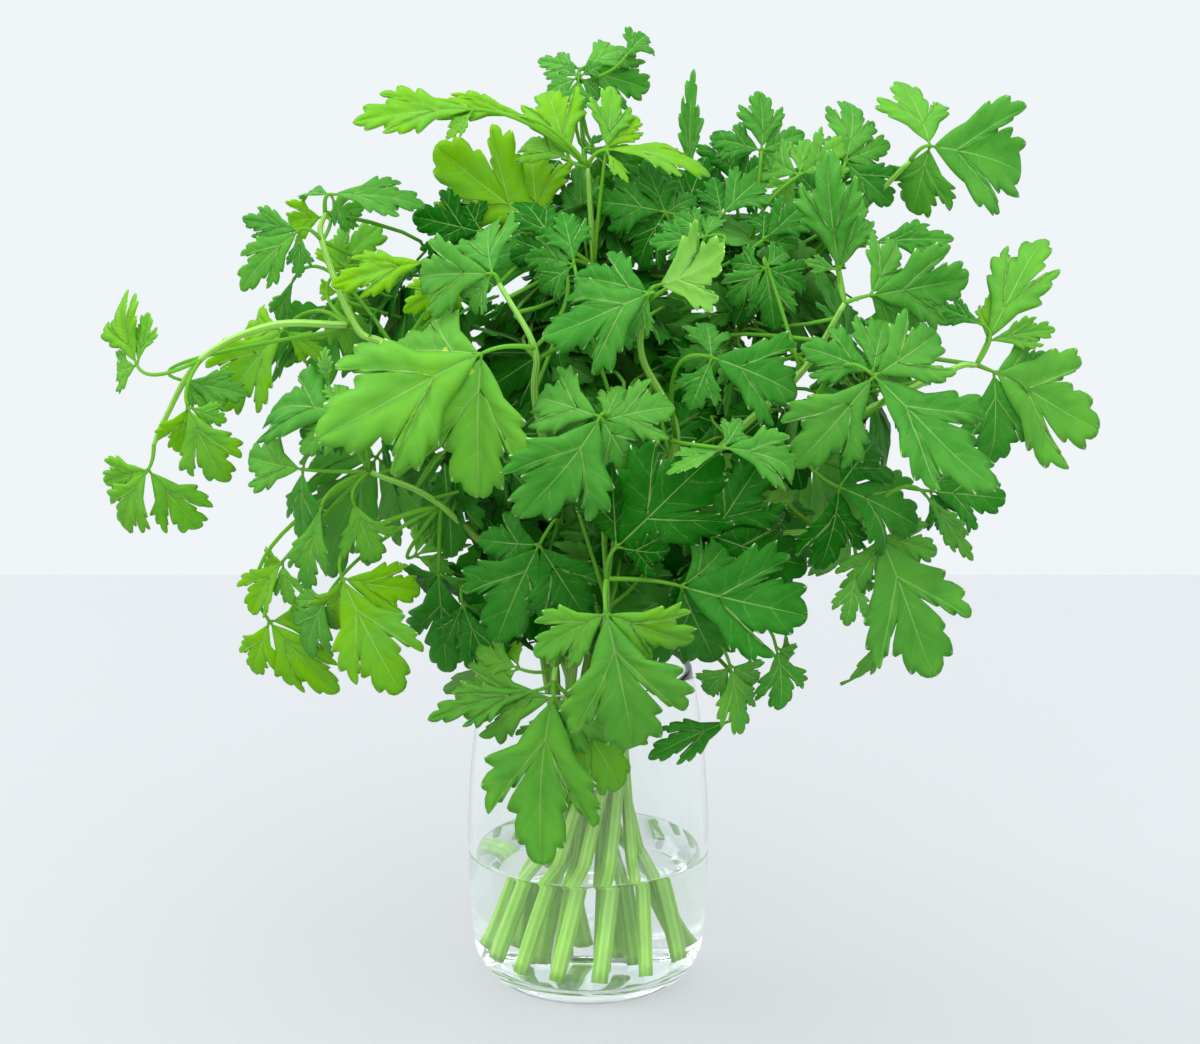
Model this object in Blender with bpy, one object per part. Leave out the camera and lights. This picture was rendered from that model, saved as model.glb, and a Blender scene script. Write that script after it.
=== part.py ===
"""A bunch of flat-leaf parsley standing in a clear glass jar of water.

Units are metres, +Z is up, the origin is the centre of the jar's underside and -Y is the front.
The plant's own tables are in millimetres and degrees, and MM turns them into metres.
"""

import math

import bmesh
import bpy
from mathutils import Vector

MM = 0.001
GAP = 0.0003  # clearance between neighbouring pieces

# Jar
JAR_HEIGHT = 0.111
JAR_WIDEST = 0.041  # outer radius of the barrel at its widest
JAR_WIDEST_AT = 0.048
JAR_NARROWING = 0.003  # loss of radius at JAR_NARROWING_OVER above or below the widest place
JAR_NARROWING_OVER = 0.044
JAR_FOOT_RADIUS = 0.027  # flat of the underside
JAR_HEEL_HEIGHT = 0.015
JAR_WALL = 0.0025
JAR_FLOOR = 0.006  # thickness of the glass under the water
JAR_SEGMENTS = 32
BARREL_STEPS = 6
HEEL_STEPS = 3

# Water
WATER_TOP = 0.046

# Stalks
FOOT_HEIGHT = 0.0085  # the cut ends stand just off the jar's floor
NECK_HEIGHT = 0.085  # where the bundle is tightest
EXIT_HEIGHT = 0.114  # where each stalk starts to follow its own route
OUTER_RING = 0.0120  # radius of the bundle's outer ring at the neck
INNER_RING = 0.0058
OUTER_FOOT_RADIUS = 0.0255
FOOT_RADIUS = 0.0022
STALK_TIP_RADIUS = 0.0010
BRANCH_RADIUS = 0.0013
STALK_SIDES = 6
STALK_STEPS = 2  # tube rings for each stretch of a route
STALK_CUTTER_TOP = 0.060

# Leaves
BLADE_THICKNESS = 0.0007
STEM_HALF_WIDTH = 0.0007
STEM_START = 0.0032  # how far from the stalk's axis a leaf stem starts
STEM_STEPS = 3
LEAFLET_WIDTH = 0.92  # of the leaflet's length
DROOP = 0.22  # how far a leaflet's tip falls back, over its length
FOLD = 0.16  # how far the halves rise from the midrib, over their width
SIDE_DROP = 0.28  # slope at which the side leaflets fall away, so that they pass under the middle one
# Along the midrib, and half the width there: wedge, side lobe, sinus, middle lobe.
LEAFLET_OUTLINE = ((0.30, 0.10), (0.62, 0.46), (0.72, 0.26), (0.88, 0.20))
SIDES = ((-72, 0.80), (72, 0.80))  # angle from the middle leaflet, and size beside it

# A sprig is a stalk and its leaves. "turn" is the compass angle at which it leaves the neck, 0 at +X and
# 270 at the front. A leaf is: the route point that it grows from (0 is the first), its hub, the clock
# angle of its middle leaflet as seen from the front, the side it faces (0 front, 90 right, 180 back) and
# how far that is tipped up, its length, its side leaflets and, where it isn't 1, how broad they all are.
SPRIGS = {
    "top": {
        "ring": INNER_RING, "turn": 150,
        "route": [(4, 0, 196), (2, -12, 250), (0, -15, 283)],
        "leaves": [
            (2, (-36, -20, 302), 270, (0, 60), 38, ((-46, 0.3), (44, 0.3)), 0.6),
            (2, (6, -19, 289), 88, (0, 70), 34, ((-75, 0.55), (60, 0.35)), 0.62),
            (1, (-16, -6, 262), 306, (0, 5), 42, ((-60, 0.5), (48, 0.72))),
        ],
    },
    "crown": {
        "ring": INNER_RING, "turn": 90,
        "route": [(4, 20, 191), (1, 35, 246), (-3, 27, 304)],
        "leaves": [
            (2, (-2, 24, 309), 48, (0, 35), 20, ((-122, 0.8), (44, 1.25)), 0.85),
        ],
    },
    "arch": {
        "ring": OUTER_RING, "turn": 190,
        "route": [(-24, -8, 181), (-61, -30, 225), (-74, -28, 233), (-85, -22, 260), (-84, -20, 269)],
        "leaves": [
            (3, (-92, -24, 264), 232, (0, 15), 26, ((-52, 0.55), (48, 0.7)), 0.66),
            (4, (-82, -21, 275), 102, (0, 55), 29, ((-150, 0.5), (50, 0.4)), 0.62),
        ],
    },
    "left_big": {
        "ring": INNER_RING, "turn": 215,
        "route": [(-9, -45, 174), (-16, -72, 219), (-16, -82, 238), (-27, -76, 257)],
        "leaves": [
            (2, (-32, -90, 238), 238, (350, 30), 54, ((-54, 0.8), (44, 0.72)), 0.92),
        ],
    },
    "front_high": {
        "ring": INNER_RING, "turn": 270,
        "route": [(10, -40, 166), (14, -70, 201), (7, -94, 215)],
        "leaves": [
            (2, (4, -101, 221), 208, (0, 20), 37, ((-62, 0.5), (82, 0.72))),
        ],
    },
    "front_right": {
        "ring": INNER_RING, "turn": 325,
        "route": [(14, -30, 163), (28, -58, 203), (17, -66, 232), (18, -80, 252)],
        "leaves": [
            (1, (38, -86, 236), 104, (20, 30), 32, ((-98, 0.5), (98, 0.5))),
            (3, (19, -87, 256), 244, (0, 25), 33, ((-40, 0.4), (48, 0.75))),
            (1, (41, -104, 212), 94, (10, 38), 27, ((-60, 0.5), (160, 0.62)), 0.8),
        ],
    },
    "front_middle": {
        "ring": OUTER_RING, "turn": 285,
        "route": [(5, -40, 126), (6, -80, 154), (6, -94, 168)],
        "leaves": [
            (2, (9, -97, 179), 46, (0, 0), 41, ((-50, 0.68), (58, 0.4)), 1.1),
            (2, (6, -104, 160), 168, (0, 8), 50, ((-52, 0.62), (74, 0.5)), 0.84),
            (2, (29, -88, 164), 106, (15, 12), 41, ((-45, 0.55), (44, 0.9)), 1.05),
        ],
    },
    "rim_front": {
        "ring": OUTER_RING, "turn": 250,
        "route": [(-6, -28, 128), (-9, -48, 133), (-11, -60, 124)],
        "leaves": [
            (2, (-11, -64, 120), 190, (350, 8), 52, ((-64, 0.5), (70, 0.74)), 0.86),
            (2, (-5, -59, 117), 152, (15, 0), 38, ((-50, 0.6), (50, 0.6))),
        ],
    },
    "right_high": {
        "ring": OUTER_RING, "turn": 345,
        "route": [(28, -16, 153), (67, -50, 198), (113, -45, 222), (124, -38, 223)],
        "leaves": [
            (1, (88, -81, 229), 137, (15, 22), 50, ((-75, 0.6), (84, 0.72)), 0.9),
            (3, (130, -35, 220), 110, (18, 26), 46, ((-34, 0.5), (60, 0.7))),
            (3, (128, -30, 229), 24, (335, 5), 42, ((-36, 0.4), (52, 0.5)), 0.55),
        ],
    },
    "right_top": {
        "ring": INNER_RING, "turn": 25,
        "route": [(20, -20, 160), (42, -45, 197), (67, -58, 225), (80, -62, 248)],
        "leaves": [
            (3, (88, -60, 250), 82, (15, 10), 36, ((-48, 0.66), (36, 0.7)), 0.9),
            (3, (79, -50, 256), 350, (0, 5), 37, ((-68, 0.3), (30, 0.66)), 0.62),
        ],
    },
    "far_right": {
        "ring": OUTER_RING, "turn": 15,
        "route": [(24, 8, 166), (50, 10, 224), (86, 0, 263), (104, -9, 284)],
        "leaves": [
            (3, (110, -11, 289), 94, (20, 18), 39, ((-98, 0.66), (88, 0.66)), 1.15),
        ],
    },
    "right_low": {
        "ring": OUTER_RING, "turn": 315,
        "route": [(20, -17, 138), (56, -40, 166), (84, -53, 172)],
        "leaves": [
            (2, (93, -55, 171), 158, (15, 12), 50, ((-52, 0.48), (46, 0.4)), 0.85),
        ],
    },
    "left_low": {
        "ring": OUTER_RING, "turn": 220,
        "route": [(-18, -22, 140), (-47, -43, 178), (-69, -54, 192)],
        "leaves": [
            (2, (-90, -55, 193), 280, (330, 20), 25, ((-82, 1.05), (60, 0.3)), 0.85),
            (2, (-77, -60, 212), 296, (340, 35), 32, ((-60, 0.5), (60, 0.4))),
            (1, (-48, -42, 155), 180, (340, 0), 37, ((-60, 0.6), (60, 0.6)), 0.8),
            (0, (-15, -76, 174), 207, (350, 15), 35, ((-60, 0.8), (62, 0.62)), 1.05),
            (1, (-78, -58, 158), 150, (340, 10), 41, ((-50, 0.62), (52, 0.6)), 0.8),
            (2, (-104, -32, 136), 138, (345, 15), 31, ((-56, 0.62), (66, 0.7)), 0.85),
        ],
    },
    "back_right": {
        "ring": OUTER_RING, "turn": 50,
        "route": [(20, 22, 140), (56, 50, 180), (76, 62, 205)],
        "leaves": [
            (2, (88, 68, 212), 80, (150, 30), 42, SIDES),
            (2, (62, 64, 228), 20, (160, 40), 40, SIDES),
            (1, (78, 62, 165), 130, (140, 10), 44, SIDES),
        ],
    },
    "back_middle": {
        "ring": OUTER_RING, "turn": 88,
        "route": [(2, 30, 145), (2, 66, 190), (0, 82, 222)],
        "leaves": [
            (2, (-6, 88, 230), 300, (185, 40), 46, SIDES),
            (2, (10, 92, 212), 100, (175, 20), 44, SIDES),
            (1, (0, 84, 168), 185, (180, 5), 48, SIDES),
        ],
    },
    "back_left": {
        "ring": OUTER_RING, "turn": 130,
        "route": [(-20, 22, 142), (-54, 50, 184), (-72, 60, 212)],
        "leaves": [
            (2, (-84, 64, 220), 280, (210, 35), 42, SIDES),
            (1, (-74, 62, 168), 222, (215, 10), 46, SIDES),
        ],
    },
}
# The arch's second branch leaves it at this route point.
ARCH_BRANCH_FROM = 2
ARCH_BRANCH = {
    "route": [(-77, -29, 234), (-102, -25, 233), (-125, -20, 221), (-138, -16, 200), (-142, -15, 191)],
    "leaves": [
        (2, (-146, -20, 219), 318, (322, 8), 27, ((-72, 0.7), (34, 0.6)), 0.8),
        (2, (-129, -28, 207), 158, (345, 0), 28, ((-40, 0.45), (42, 0.75)), 0.9),
        (4, (-144, -16, 183), 215, (350, 10), 27, ((-70, 1.1), (40, 0.8)), 0.8),
        (0, (-100, 2, 226), 220, (330, 25), 33, ((-98, 0.45), (52, 0.75)), 0.95),
    ],
}


def clear_scene():
    for thing in list(bpy.data.objects):
        bpy.data.objects.remove(thing, do_unlink=True)


def make_material(name, color, roughness, transmission=0.0, ior=1.45):
    material = bpy.data.materials.new(name)
    material.use_nodes = True
    shader = material.node_tree.nodes["Principled BSDF"]
    shader.inputs["Base Color"].default_value = (*color, 1.0)
    shader.inputs["Roughness"].default_value = roughness
    shader.inputs["Metallic"].default_value = 0.0
    shader.inputs["Transmission Weight"].default_value = transmission
    shader.inputs["IOR"].default_value = ior
    return material


def add_object(name, mesh, material):
    thing = bpy.data.objects.new(name, mesh)
    mesh.materials.append(material)
    bpy.context.scene.collection.objects.link(thing)
    return thing


def mesh_from(name, points, faces):
    mesh = bpy.data.meshes.new(name)
    mesh.from_pydata([tuple(point) for point in points], [], faces)
    mesh.update()
    return mesh


def spin_profile(name, profile, segments):
    """Turns a closed outline of (radius, height) points about Z. Points on the axis become one vertex."""
    points = []
    rings = []
    for radius, height in profile:
        first = len(points)
        if radius == 0.0:
            points.append(Vector((0.0, 0.0, height)))
            rings.append([first] * segments)
            continue
        for k in range(segments):
            angle = math.tau * k / segments
            points.append(Vector((radius * math.cos(angle), radius * math.sin(angle), height)))
        rings.append(list(range(first, first + segments)))
    faces = []
    for low, high in zip(rings, rings[1:]):
        for k in range(segments):
            after = (k + 1) % segments
            corners = [low[k], low[after], high[after], high[k]]
            faces.append(list(dict.fromkeys(corners)))
    mesh = mesh_from(name, points, faces)
    mesh.shade_smooth()
    mesh.set_sharp_from_angle(angle=math.radians(40))
    return mesh


def barrel_radius(height):
    away = (height - JAR_WIDEST_AT) / JAR_NARROWING_OVER
    return JAR_WIDEST - JAR_NARROWING * away**2


def wall_line(inset, floor, top):
    """The barrel's profile from the edge of its flat bottom up to top, moved inward by inset."""
    heel_top = JAR_HEEL_HEIGHT + floor * 0.4
    heel_radius = barrel_radius(heel_top) - inset
    flat = JAR_FOOT_RADIUS - inset
    line = []
    for k in range(HEEL_STEPS + 1):
        angle = 0.5 * math.pi * k / HEEL_STEPS
        radius = flat + (heel_radius - flat) * math.sin(angle)
        line.append((radius, floor + (heel_top - floor) * (1.0 - math.cos(angle))))
    for k in range(1, BARREL_STEPS + 1):
        height = heel_top + (top - heel_top) * k / BARREL_STEPS
        line.append((barrel_radius(height) - inset, height))
    return line


def make_jar():
    lip = JAR_WALL / 2
    outer = wall_line(0.0, 0.0, JAR_HEIGHT - lip)
    inner = wall_line(JAR_WALL, JAR_FLOOR, JAR_HEIGHT - lip)
    crest = (outer[-1][0] - lip, JAR_HEIGHT)
    profile = [(0.0, 0.0)] + outer + [crest] + inner[::-1] + [(0.0, JAR_FLOOR)]
    glass = make_material("clear_glass", (0.93, 0.97, 0.96), 0.02, transmission=1.0, ior=1.50)
    return add_object("jar", spin_profile("jar", profile, JAR_SEGMENTS), glass)


def make_water(cutters):
    side = wall_line(JAR_WALL + GAP, JAR_FLOOR + GAP, WATER_TOP)
    profile = [(0.0, JAR_FLOOR + GAP)] + side + [(0.0, WATER_TOP)]
    look = make_material("water", (0.95, 1.0, 0.98), 0.0, transmission=1.0, ior=1.33)
    water = add_object("water", spin_profile("water", profile, JAR_SEGMENTS), look)
    for cutter in cutters:
        cut = water.modifiers.new("stalk", "BOOLEAN")
        cut.operation = "DIFFERENCE"
        cut.object = cutter
    return water


def neck_line(ring, turn, height):
    """A straight stalk of the crossing bundle: it passes the neck at radius ring, slanting round the axis."""
    run = math.sqrt(OUTER_FOOT_RADIUS**2 - OUTER_RING**2) / (NECK_HEIGHT - FOOT_HEIGHT)
    slant = run * ring / OUTER_RING
    turned = math.atan2((EXIT_HEIGHT - NECK_HEIGHT) * run, OUTER_RING)
    angle = math.radians(turn) - turned
    along = (height - NECK_HEIGHT) * slant
    out = Vector((math.cos(angle), math.sin(angle), 0.0))
    across = Vector((-math.sin(angle), math.cos(angle), 0.0))
    return out * ring + across * along + Vector((0.0, 0.0, height))


def smooth_path(knots, steps):
    """Points on a Catmull-Rom curve through the knots."""
    ends = [2 * knots[0] - knots[1], *knots, 2 * knots[-1] - knots[-2]]
    path = []
    for k in range(1, len(ends) - 2):
        before, start, end, after = ends[k - 1 : k + 3]
        for j in range(steps):
            t = j / steps
            path.append(
                0.5 * (2 * start + (end - before) * t
                       + (2 * before - 5 * start + 4 * end - after) * t**2
                       + (3 * start - before - 3 * end + after) * t**3)
            )
    path.append(knots[-1].copy())
    return path


def tube_mesh(name, path, radii, sides):
    """A closed tube along the path, its rings carried forward without twisting."""
    points = []
    across = Vector((1.0, 0.0, 0.0))
    for k, centre in enumerate(path):
        tangent = (path[min(k + 1, len(path) - 1)] - path[max(k - 1, 0)]).normalized()
        across = (across - tangent * across.dot(tangent)).normalized()
        other = tangent.cross(across)
        for j in range(sides):
            angle = math.tau * j / sides
            points.append(centre + (across * math.cos(angle) + other * math.sin(angle)) * radii[k])
    faces = [list(range(sides))[::-1]]
    for k in range(len(path) - 1):
        for j in range(sides):
            after = (j + 1) % sides
            low, high = k * sides, (k + 1) * sides
            faces.append([low + j, low + after, high + after, high + j])
    faces.append([(len(path) - 1) * sides + j for j in range(sides)])
    mesh = mesh_from(name, points, faces)
    mesh.shade_smooth()
    mesh.set_sharp_from_angle(angle=math.radians(70))
    return mesh


def in_metres(route):
    return [Vector(point) * MM for point in route]


def stalk_knots(sprig):
    heights = (FOOT_HEIGHT, (FOOT_HEIGHT + NECK_HEIGHT) / 2, NECK_HEIGHT, EXIT_HEIGHT)
    lower = [neck_line(sprig["ring"], sprig["turn"], height) for height in heights]
    return lower + in_metres(sprig["route"])


def make_stalk(name, sprig, material):
    path = smooth_path(stalk_knots(sprig), STALK_STEPS)
    last = len(path) - 1
    radii = [FOOT_RADIUS + (STALK_TIP_RADIUS - FOOT_RADIUS) * (k / last) ** 2 for k in range(last + 1)]
    return add_object(name, tube_mesh(name, path, radii, STALK_SIDES), material)


def make_branch(name, sprig, radius, material):
    path = smooth_path(in_metres(sprig["route"]), STALK_STEPS)
    radii = [radius + (STALK_TIP_RADIUS - radius) * k / (len(path) - 1) for k in range(len(path))]
    return add_object(name, tube_mesh(name, path, radii, STALK_SIDES), material)


def make_cutter(name, sprig):
    """A stalk's stretch under water, wider by the gap, which cuts its place out of the water."""
    ends = [neck_line(sprig["ring"], sprig["turn"], z) for z in (FOOT_HEIGHT - GAP, STALK_CUTTER_TOP)]
    mesh = tube_mesh(name, ends, [FOOT_RADIUS + GAP] * 2, STALK_SIDES)
    cutter = bpy.data.objects.new(name, mesh)
    bpy.context.scene.collection.objects.link(cutter)
    cutter.hide_render = True
    cutter.display_type = "WIRE"
    return cutter


def leaf_axes(clock, faces):
    """The middle leaflet's heading, the direction across it, and the upper side's normal."""
    turn, tip = math.radians(faces[0]), math.radians(faces[1])
    normal = Vector((math.sin(turn) * math.cos(tip), -math.cos(turn) * math.cos(tip), math.sin(tip)))
    heading = Vector((math.sin(math.radians(clock)), 0.0, math.cos(math.radians(clock))))
    heading = (heading - normal * heading.dot(normal)).normalized()
    return heading, heading.cross(normal), normal


def add_leaflet(points, faces, base, axes, hub, angle, length, breadth):
    """Adds one lobed leaflet to the sheet, grown from the two base vertices, left one first."""
    heading, across, normal = axes
    turn = math.radians(angle)
    drop = SIDE_DROP if angle else 0.0
    along = heading * math.cos(turn) + across * math.sin(turn)
    sideways = across * math.cos(turn) - heading * math.sin(turn)

    def place(share, offset):
        rise = FOLD * abs(offset) - DROOP * length * share**2 - drop * length * share
        return hub + along * (share * length) + sideways * offset + normal * rise

    rows = []
    for share, half in LEAFLET_OUTLINE:
        width = half * LEAFLET_WIDTH * breadth * length
        first = len(points)
        points.extend([place(share, -width), place(share, 0.0), place(share, width)])
        rows.append((first, first + 1, first + 2))
    left, right = base
    start = rows[0]
    faces.extend([(left, start[1], start[0]), (left, right, start[1]), (right, start[2], start[1])])
    for low, high in zip(rows, rows[1:]):
        faces.append((low[0], low[1], high[1], high[0]))
        faces.append((low[1], low[2], high[2], high[1]))
    tip = len(points)
    points.append(place(1.0, 0.0))
    end = rows[-1]
    faces.extend([(end[0], end[1], tip), (end[1], end[2], tip)])


def stem_path(start_at, hub, heading):
    """The leaf stem: it leaves the stalk towards the hub and arrives along the leaf's own heading."""
    reach = (hub - start_at).length
    start = start_at + (hub - start_at).normalized() * STEM_START
    arrive = hub - heading * reach * 0.4
    path = []
    for k in range(STEM_STEPS + 1):
        t = k / STEM_STEPS
        path.append(start * (1 - t) ** 2 + arrive * 2 * t * (1 - t) + hub * t**2)
    return path


def make_leaf(name, grows_from, row, material):
    """One thin sheet of stem, hub and three leaflets, given its thickness by a Solidify modifier."""
    _, hub, clock, faces_to, length, sides, *rest = row
    breadth = rest[0] if rest else 1.0
    hub = Vector(hub) * MM
    length = length * MM
    heading, across, normal = leaf_axes(clock, faces_to)
    half = STEM_HALF_WIDTH
    points = []
    faces = []
    path = stem_path(grows_from, hub - heading * half, heading)
    for k, centre in enumerate(path[:-1]):
        tangent = (path[k + 1] - centre).normalized()
        side = (across - tangent * across.dot(tangent)).normalized() * half
        points.extend([centre - side, centre + side])
    first = len(points)
    points.extend([hub - heading * half - across * half, hub - heading * half + across * half])
    points.extend([hub + heading * half - across * half, hub + heading * half + across * half])
    for k in range(0, first, 2):
        faces.append((k, k + 1, k + 3, k + 2))
    back_left, back_right, front_left, front_right = range(first, first + 4)
    faces.append((back_left, back_right, front_right, front_left))
    axes = (heading, across, normal)
    (left_angle, left_size), (right_angle, right_size) = sides
    left, middle, right = (back_left, front_left), (front_left, front_right), (front_right, back_right)
    add_leaflet(points, faces, left, axes, hub, left_angle, length * left_size, breadth)
    add_leaflet(points, faces, middle, axes, hub, 0.0, length, breadth)
    add_leaflet(points, faces, right, axes, hub, right_angle, length * right_size, breadth)
    mesh = mesh_from(name, points, faces)
    leaf = add_object(name, mesh, material)
    solid = leaf.modifiers.new("thickness", "SOLIDIFY")
    solid.thickness = BLADE_THICKNESS
    solid.offset = 0.0
    return leaf


def grow_leaves(sprig_name, sprig, material):
    forks = in_metres(sprig["route"])
    for k, row in enumerate(sprig["leaves"], start=1):
        make_leaf(f"leaf_{sprig_name}_{k}", forks[row[0]], row, material)


def main():
    clear_scene()
    green_stalk = make_material("green_stalk", (0.26, 0.50, 0.10), 0.45)
    leaf_green = make_material("leaf_green", (0.07, 0.28, 0.05), 0.5)
    make_jar()
    make_water([make_cutter(f"cutter_{name}", sprig) for name, sprig in SPRIGS.items()])
    for name, sprig in SPRIGS.items():
        make_stalk(f"stalk_{name}", sprig, green_stalk)
        grow_leaves(name, sprig, leaf_green)
    make_branch("branch_arch", ARCH_BRANCH, BRANCH_RADIUS, green_stalk)
    grow_leaves("arch_branch", ARCH_BRANCH, leaf_green)


main()
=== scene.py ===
# Flat-leaf parsley standing in a clear glass jar: the finished look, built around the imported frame.
import math

import bpy
import numpy as np
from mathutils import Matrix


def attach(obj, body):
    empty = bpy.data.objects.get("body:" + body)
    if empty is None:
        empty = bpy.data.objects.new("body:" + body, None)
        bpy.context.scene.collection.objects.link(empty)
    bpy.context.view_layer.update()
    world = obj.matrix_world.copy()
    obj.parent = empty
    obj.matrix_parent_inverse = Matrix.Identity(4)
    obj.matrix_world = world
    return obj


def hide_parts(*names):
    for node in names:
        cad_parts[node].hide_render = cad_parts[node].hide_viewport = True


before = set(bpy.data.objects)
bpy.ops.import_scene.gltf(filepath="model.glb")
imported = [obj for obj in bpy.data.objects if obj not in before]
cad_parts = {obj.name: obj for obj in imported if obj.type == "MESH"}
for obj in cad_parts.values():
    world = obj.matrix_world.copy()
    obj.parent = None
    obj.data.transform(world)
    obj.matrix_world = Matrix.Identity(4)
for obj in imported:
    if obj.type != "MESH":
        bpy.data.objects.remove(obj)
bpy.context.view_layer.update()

mm = 0.001
print("frame loaded:", len(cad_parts), "nodes")


# The bunch's plan, in millimetres and degrees: the frame's own rows, each with its tone added.
# A stalk is: distance from the middle and angle at the neck, route above it, leaves.
# A leaf is: route point it grows from, hub, clock angle of its middle leaflet seen from the front,
# (side it faces, how far that is tipped up), length, side leaflets (angle, size), tone, and last,
# where it isn't 1, how broad its leaflets are. Tone: 0 is dark blue-green and 1 yellow-green.
# each leaf's tone was also set to how brightly lit or how shaded that leaf stands, so besides its own
# colour it holds painted light and shade
sides = ((-72, 0.80), (72, 0.80))
outerRing, innerRing = 12.0, 5.8
sprigs = {
    "top": (innerRing, 150, [(4, 0, 196), (2, -12, 250), (0, -15, 283)], [
        (2, (-36, -20, 302), 270, (0, 60), 38, ((-46, 0.3), (44, 0.3)), 0.9, 0.6),
        (2, (6, -19, 289), 88, (0, 70), 34, ((-75, 0.55), (60, 0.35)), 0.9, 0.62),
        (1, (-16, -6, 262), 306, (0, 5), 42, ((-60, 0.5), (48, 0.72)), 0.95),
    ]),
    "crown": (innerRing, 90, [(4, 20, 191), (1, 35, 246), (-3, 27, 304)], [
        (2, (-2, 24, 309), 48, (0, 35), 20, ((-122, 0.8), (44, 1.25)), 0.6, 0.85),
    ]),
    "arch": (outerRing, 190, [
        (-24, -8, 181), (-61, -30, 225), (-74, -28, 233), (-85, -22, 260), (-84, -20, 269)], [
        (3, (-92, -24, 264), 232, (0, 15), 26, ((-52, 0.55), (48, 0.7)), 0.5, 0.66),
        (4, (-82, -21, 275), 102, (0, 55), 29, ((-150, 0.5), (50, 0.4)), 0.5, 0.62),
    ]),
    "left_big": (innerRing, 215, [
        (-9, -45, 174), (-16, -72, 219), (-16, -82, 238), (-27, -76, 257)], [
        (2, (-32, -90, 238), 238, (350, 30), 54, ((-54, 0.80), (44, 0.72)), 0.68, 0.92),
    ]),
    "front_high": (innerRing, 270, [(10, -40, 166), (14, -70, 201), (7, -94, 215)], [
        (2, (4, -101, 221), 208, (0, 20), 37, ((-62, 0.5), (82, 0.72)), 0.4),
    ]),
    "front_right": (innerRing, 325, [
        (14, -30, 163), (28, -58, 203), (17, -66, 232), (18, -80, 252)], [
        (1, (38, -86, 236), 104, (20, 30), 32, ((-98, 0.5), (98, 0.5)), 0.35),
        (3, (19, -87, 256), 244, (0, 25), 33, ((-40, 0.4), (48, 0.75)), 0.4),
        (1, (41, -104, 212), 94, (10, 38), 27, ((-60, 0.5), (160, 0.62)), 0.55, 0.8),
    ]),
    "front_middle": (outerRing, 285, [(5, -40, 126), (6, -80, 154), (6, -94, 168)], [
        (2, (9, -97, 179), 46, (0, 0), 41, ((-50, 0.68), (58, 0.4)), 0.05, 1.1),
        (2, (6, -104, 160), 168, (0, 8), 50, ((-52, 0.62), (74, 0.5)), 0.68, 0.84),
        (2, (29, -88, 164), 106, (15, 12), 41, ((-45, 0.55), (44, 0.9)), 0.25, 1.05),
    ]),
    "rim_front": (outerRing, 250, [(-6, -28, 128), (-9, -48, 133), (-11, -60, 124)], [
        (2, (-11, -64, 120), 190, (350, 8), 52, ((-64, 0.5), (70, 0.74)), 0.72, 0.86),
        (2, (-5, -59, 117), 152, (15, 0), 38, ((-50, 0.6), (50, 0.6)), 0.65),
    ]),
    "right_high": (outerRing, 345, [
        (28, -16, 153), (67, -50, 198), (113, -45, 222), (124, -38, 223)], [
        (1, (88, -81, 229), 137, (15, 22), 50, ((-75, 0.6), (84, 0.72)), 0.56, 0.9),
        (3, (130, -35, 220), 110, (18, 26), 46, ((-34, 0.5), (60, 0.7)), 0.5),
        (3, (128, -30, 229), 24, (335, 5), 42, ((-36, 0.4), (52, 0.5)), 0.75, 0.55),
    ]),
    "right_top": (innerRing, 25, [
        (20, -20, 160), (42, -45, 197), (67, -58, 225), (80, -62, 248)], [
        (3, (88, -60, 250), 82, (15, 10), 36, ((-48, 0.66), (36, 0.7)), 0.48, 0.9),
        (3, (79, -50, 256), 350, (0, 5), 37, ((-68, 0.3), (30, 0.66)), 0.45, 0.62),
    ]),
    "far_right": (outerRing, 15, [(24, 8, 166), (50, 10, 224), (86, 0, 263), (104, -9, 284)], [
        (3, (110, -11, 289), 94, (20, 18), 39, ((-98, 0.66), (88, 0.66)), 0.56, 1.15),
    ]),
    "right_low": (outerRing, 315, [(20, -17, 138), (56, -40, 166), (84, -53, 172)], [
        (2, (93, -55, 171), 158, (15, 12), 50, ((-52, 0.48), (46, 0.4)), 0.58, 0.85),
    ]),
    "left_low": (outerRing, 220, [(-18, -22, 140), (-47, -43, 178), (-69, -54, 192)], [
        (2, (-90, -55, 193), 280, (330, 20), 25, ((-82, 1.05), (60, 0.3)), 0.6, 0.85),
        (2, (-77, -60, 212), 296, (340, 35), 32, ((-60, 0.5), (60, 0.4)), 0.5),
        (1, (-48, -42, 155), 180, (340, 0), 37, ((-60, 0.6), (60, 0.6)), 0.3, 0.8),
        (0, (-15, -76, 174), 207, (350, 15), 35, ((-60, 0.8), (62, 0.62)), 0.25, 1.05),
        (1, (-78, -58, 158), 150, (340, 10), 41, ((-50, 0.62), (52, 0.6)), 0.95, 0.8),
        (2, (-104, -32, 136), 138, (345, 15), 31, ((-56, 0.62), (66, 0.7)), 1.0, 0.85),
    ]),
    "back_right": (outerRing, 50, [(20, 22, 140), (56, 50, 180), (76, 62, 205)], [
        (2, (88, 68, 212), 80, (150, 30), 42, sides, 0.4),
        (2, (62, 64, 228), 20, (160, 40), 40, sides, 0.3),
        (1, (78, 62, 165), 130, (140, 10), 44, sides, 0.5),
    ]),
    "back_middle": (outerRing, 88, [(2, 30, 145), (2, 66, 190), (0, 82, 222)], [
        (2, (-6, 88, 230), 300, (185, 40), 46, sides, 0.35),
        (2, (10, 92, 212), 100, (175, 20), 44, sides, 0.3),
        (1, (0, 84, 168), 185, (180, 5), 48, sides, 0.4),
    ]),
    "back_left": (outerRing, 130, [(-20, 22, 142), (-54, 50, 184), (-72, 60, 212)], [
        (2, (-84, 64, 220), 280, (210, 35), 42, sides, 0.45),
        (1, (-74, 62, 168), 222, (215, 10), 46, sides, 0.4),
    ]),
}
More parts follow.
